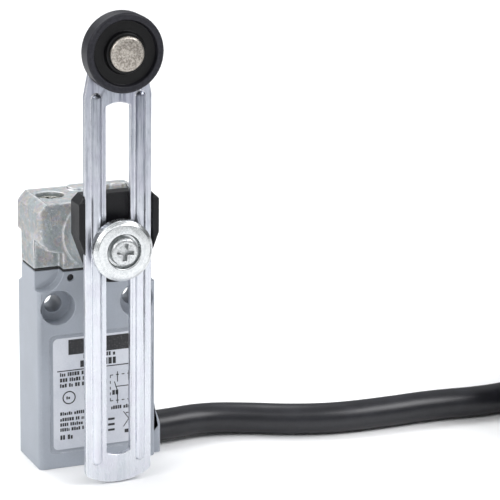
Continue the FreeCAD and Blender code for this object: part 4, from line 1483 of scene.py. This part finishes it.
@dataclass
class CableTie:
    """A cable tie round one straight side of the hank: a strap, a lock and a cut tail."""

    name: str
    middle: tuple[float, float]
    levels: tuple[float, float]
    half_bundle: float
    slack: float = 0.45
    lift: float = 0.44
    corner: float = 3.0
    strap: tuple[float, float, float] = (0.4, 2.3, 0.2)
    lock: tuple[float, float, float] = (2.5, 3.2, 0.7)
    tail: tuple[float, float, float] = (0.4, 2.2, 0.2)
    lock_heights: tuple[float, ...] = (0.5, 0.62, 3.0, 3.15)
    tail_path: tuple[tuple[float, float], ...] = ((-1.0, 0.9), (-1.0, 2.6), (-1.15, 4.2))
    ease: float = 0.12

    def box(self, path: np.ndarray, half: Point, per_corner: int, closed: bool = False) -> tuple:
        """A bar of half thickness, half width and corner radius along a path, in millimetres."""
        profile = rounded_box(half[0] * MM, half[1] * MM, half[2] * MM, per_corner)
        return swept(np.asarray(path, float) * MM, profile, (1, 0, 0), closed)

    def build(self) -> bpy.types.Object:
        """Sweeps the strap round the bundle, and stands the lock and the tail on top.

        Returns:
            The tie's piece.
        """
        x, y = self.middle
        low, high = self.levels
        ring = rounded_box(self.half_bundle + self.slack, (high - low) / 2 - 0.02, self.corner, 8)
        across, up = y + ring[:, 0], (low + high) / 2 + self.lift + ring[:, 1]
        parts = [
            self.box(np.stack([np.full(len(ring), x), across, up], -1), self.strap, 2, True),
            self.box([(x, y, high + z) for z in self.lock_heights], self.lock, 4),
            self.box([(x, y + dy, high + z) for dy, z in self.tail_path], self.tail, 2),
        ]
        piece = new_piece(
            f"hank_tie_{self.name}", *joined(parts), TIE_NYLON, Body.HOUSING, "tie_nylon"
        )
        ease = piece.modifiers.new("ease", "BEVEL")
        ease.width, ease.segments, ease.limit_method = self.ease * MM, 2, "ANGLE"
        ease.angle_limit = math.radians(40)
        return piece


@dataclass
class Studio:
    """A plain pale floor, soft lights and the camera."""

    floor_z: float = -40.7 * MM
    floor_half: float = 4.0
    target: tuple[float, float, float] = (43.24 * MM, -8.0 * MM, 7.07 * MM)
    distance: float = 600 * MM
    azimuth: float = -23.74
    elevation: float = 15.55
    roll: float = 0.83
    lens: float = 173.3

    def light(
        self, name: str, at: Point, size: Sequence[float], power: float, colour: Colour
    ) -> None:
        """Adds a soft area light that faces the object.

        Args:
            name: The light's name.
            at: Its place.
            size: Its width and height.
            power: Its power, in watts.
            colour: Its colour.
        """
        data = bpy.data.lights.new(name, "AREA")
        data.shape = "RECTANGLE"
        data.size, data.size_y = size
        data.energy = power
        data.color = colour
        lamp = bpy.data.objects.new(name, data)
        bpy.context.scene.collection.objects.link(lamp)
        lamp.location = at
        aim = Vector((0.02, -0.01, 0.0)) - Vector(at)
        lamp.rotation_euler = aim.to_track_quat("-Z", "Y").to_euler()

    def camera(self) -> None:
        """Places the camera on a sphere round its target, with a small roll."""
        a, e, r = (math.radians(x) for x in (self.azimuth, self.elevation, self.roll))
        back = Vector((math.sin(a) * math.cos(e), -math.cos(a) * math.cos(e), math.sin(e)))
        right = Vector((math.cos(a), math.sin(a), 0))
        up = back.cross(right)
        x = math.cos(r) * right + math.sin(r) * up
        y = -math.sin(r) * right + math.cos(r) * up
        data = bpy.data.cameras.new("camera")
        data.lens, data.sensor_width = self.lens, 36.0
        data.clip_start, data.clip_end = 0.01, 50.0
        camera = bpy.data.objects.new("camera", data)
        bpy.context.scene.collection.objects.link(camera)
        place = Vector(self.target) + self.distance * back
        camera.matrix_world = Matrix.Translation(place) @ Matrix((x, y, back)).transposed().to_4x4()
        bpy.context.scene.camera = camera

    def floor(self) -> None:
        """A wide pale floor with a trace of paper grain."""
        mesh = bpy.data.meshes.new("floor")
        half = self.floor_half
        square = [(-half, -half), (half, -half), (half, half), (-half, half)]
        mesh.from_pydata([(x, y, self.floor_z) for x, y in square], [], [(0, 1, 2, 3)])
        shader = Shader("studio_floor")
        grain = shader.noise(30 * MM, 2.0)
        shader.set(
            Base_Color=shader.mix(grain, (0.9, 0.9, 0.9), (0.93, 0.93, 0.93)),
            Roughness=0.9,
        )
        mesh.materials.append(shader.material)
        floor = bpy.data.objects.new("floor", mesh)
        bpy.context.scene.collection.objects.link(floor)

    def world(self) -> None:
        """A pale surround, brighter above and to the left, and darker low on the right."""
        world = bpy.data.worlds.new("studio")
        bpy.context.scene.world = world
        world.use_nodes = True
        nodes = Nodes(world.node_tree)
        place = nodes.node("ShaderNodeTexCoord").outputs["Generated"]
        lean = nodes.part(place, Along.Z) - 0.5 * nodes.part(place, Along.X)
        strength = lean.rise(-0.4, 0.9, {}, To_Min=0.12, To_Max=0.6)
        values = {"Color": (0.96, 0.98, 1.0, 1.0), "Strength": strength}
        shade = nodes.node("ShaderNodeBackground", values=values)
        nodes.node("ShaderNodeOutputWorld", values={"Surface": shade.outputs[0]})

    def build(self) -> None:
        """Floor, surround, lights and camera."""
        self.floor()
        self.world()
        self.light("key", (-1.0, -0.5, 0.75), (0.6, 0.6), 4.5, (1.0, 0.99, 0.98))
        self.light("top", (-0.25, 0.6, 1.0), (1.2, 0.7), 11.0, (0.98, 0.99, 1.0))
        self.light("over", (0.62, -0.5, 0.72), (0.8, 0.4), 7.0, (0.98, 0.98, 1.0))
        self.light("front", (-0.15, -0.8, 1.0), (0.9, 0.3), 1.2, (0.98, 0.99, 1.0))
        scene = bpy.context.scene
        scene.view_settings.view_transform = "Standard"
        self.camera()


def dress_nodes(nodes: dict[str, bpy.types.Object]) -> None:
    """Gives every frame node its finish, shown or not.

    Args:
        nodes: The frame's nodes by name.
    """
    for name, node in nodes.items():
        node.data.materials.clear()
        node.data.materials.append(NODE_FINISH[name].material())


def main() -> None:
    """Builds the looks in order and logs each one as it is placed."""
    logging.basicConfig(level=logging.INFO, format="%(name)s: %(message)s")
    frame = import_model()
    dress_nodes(frame["nodes"])
    for assembly in (
        Studio(), PrewiredCable(), Casing(), LabelPrint(), LeverGroup(), ContactSprings()
    ):
        assembly.build()
        LOG.info("%s is in place", type(assembly).__name__)


if __name__ == "__main__":
    main()
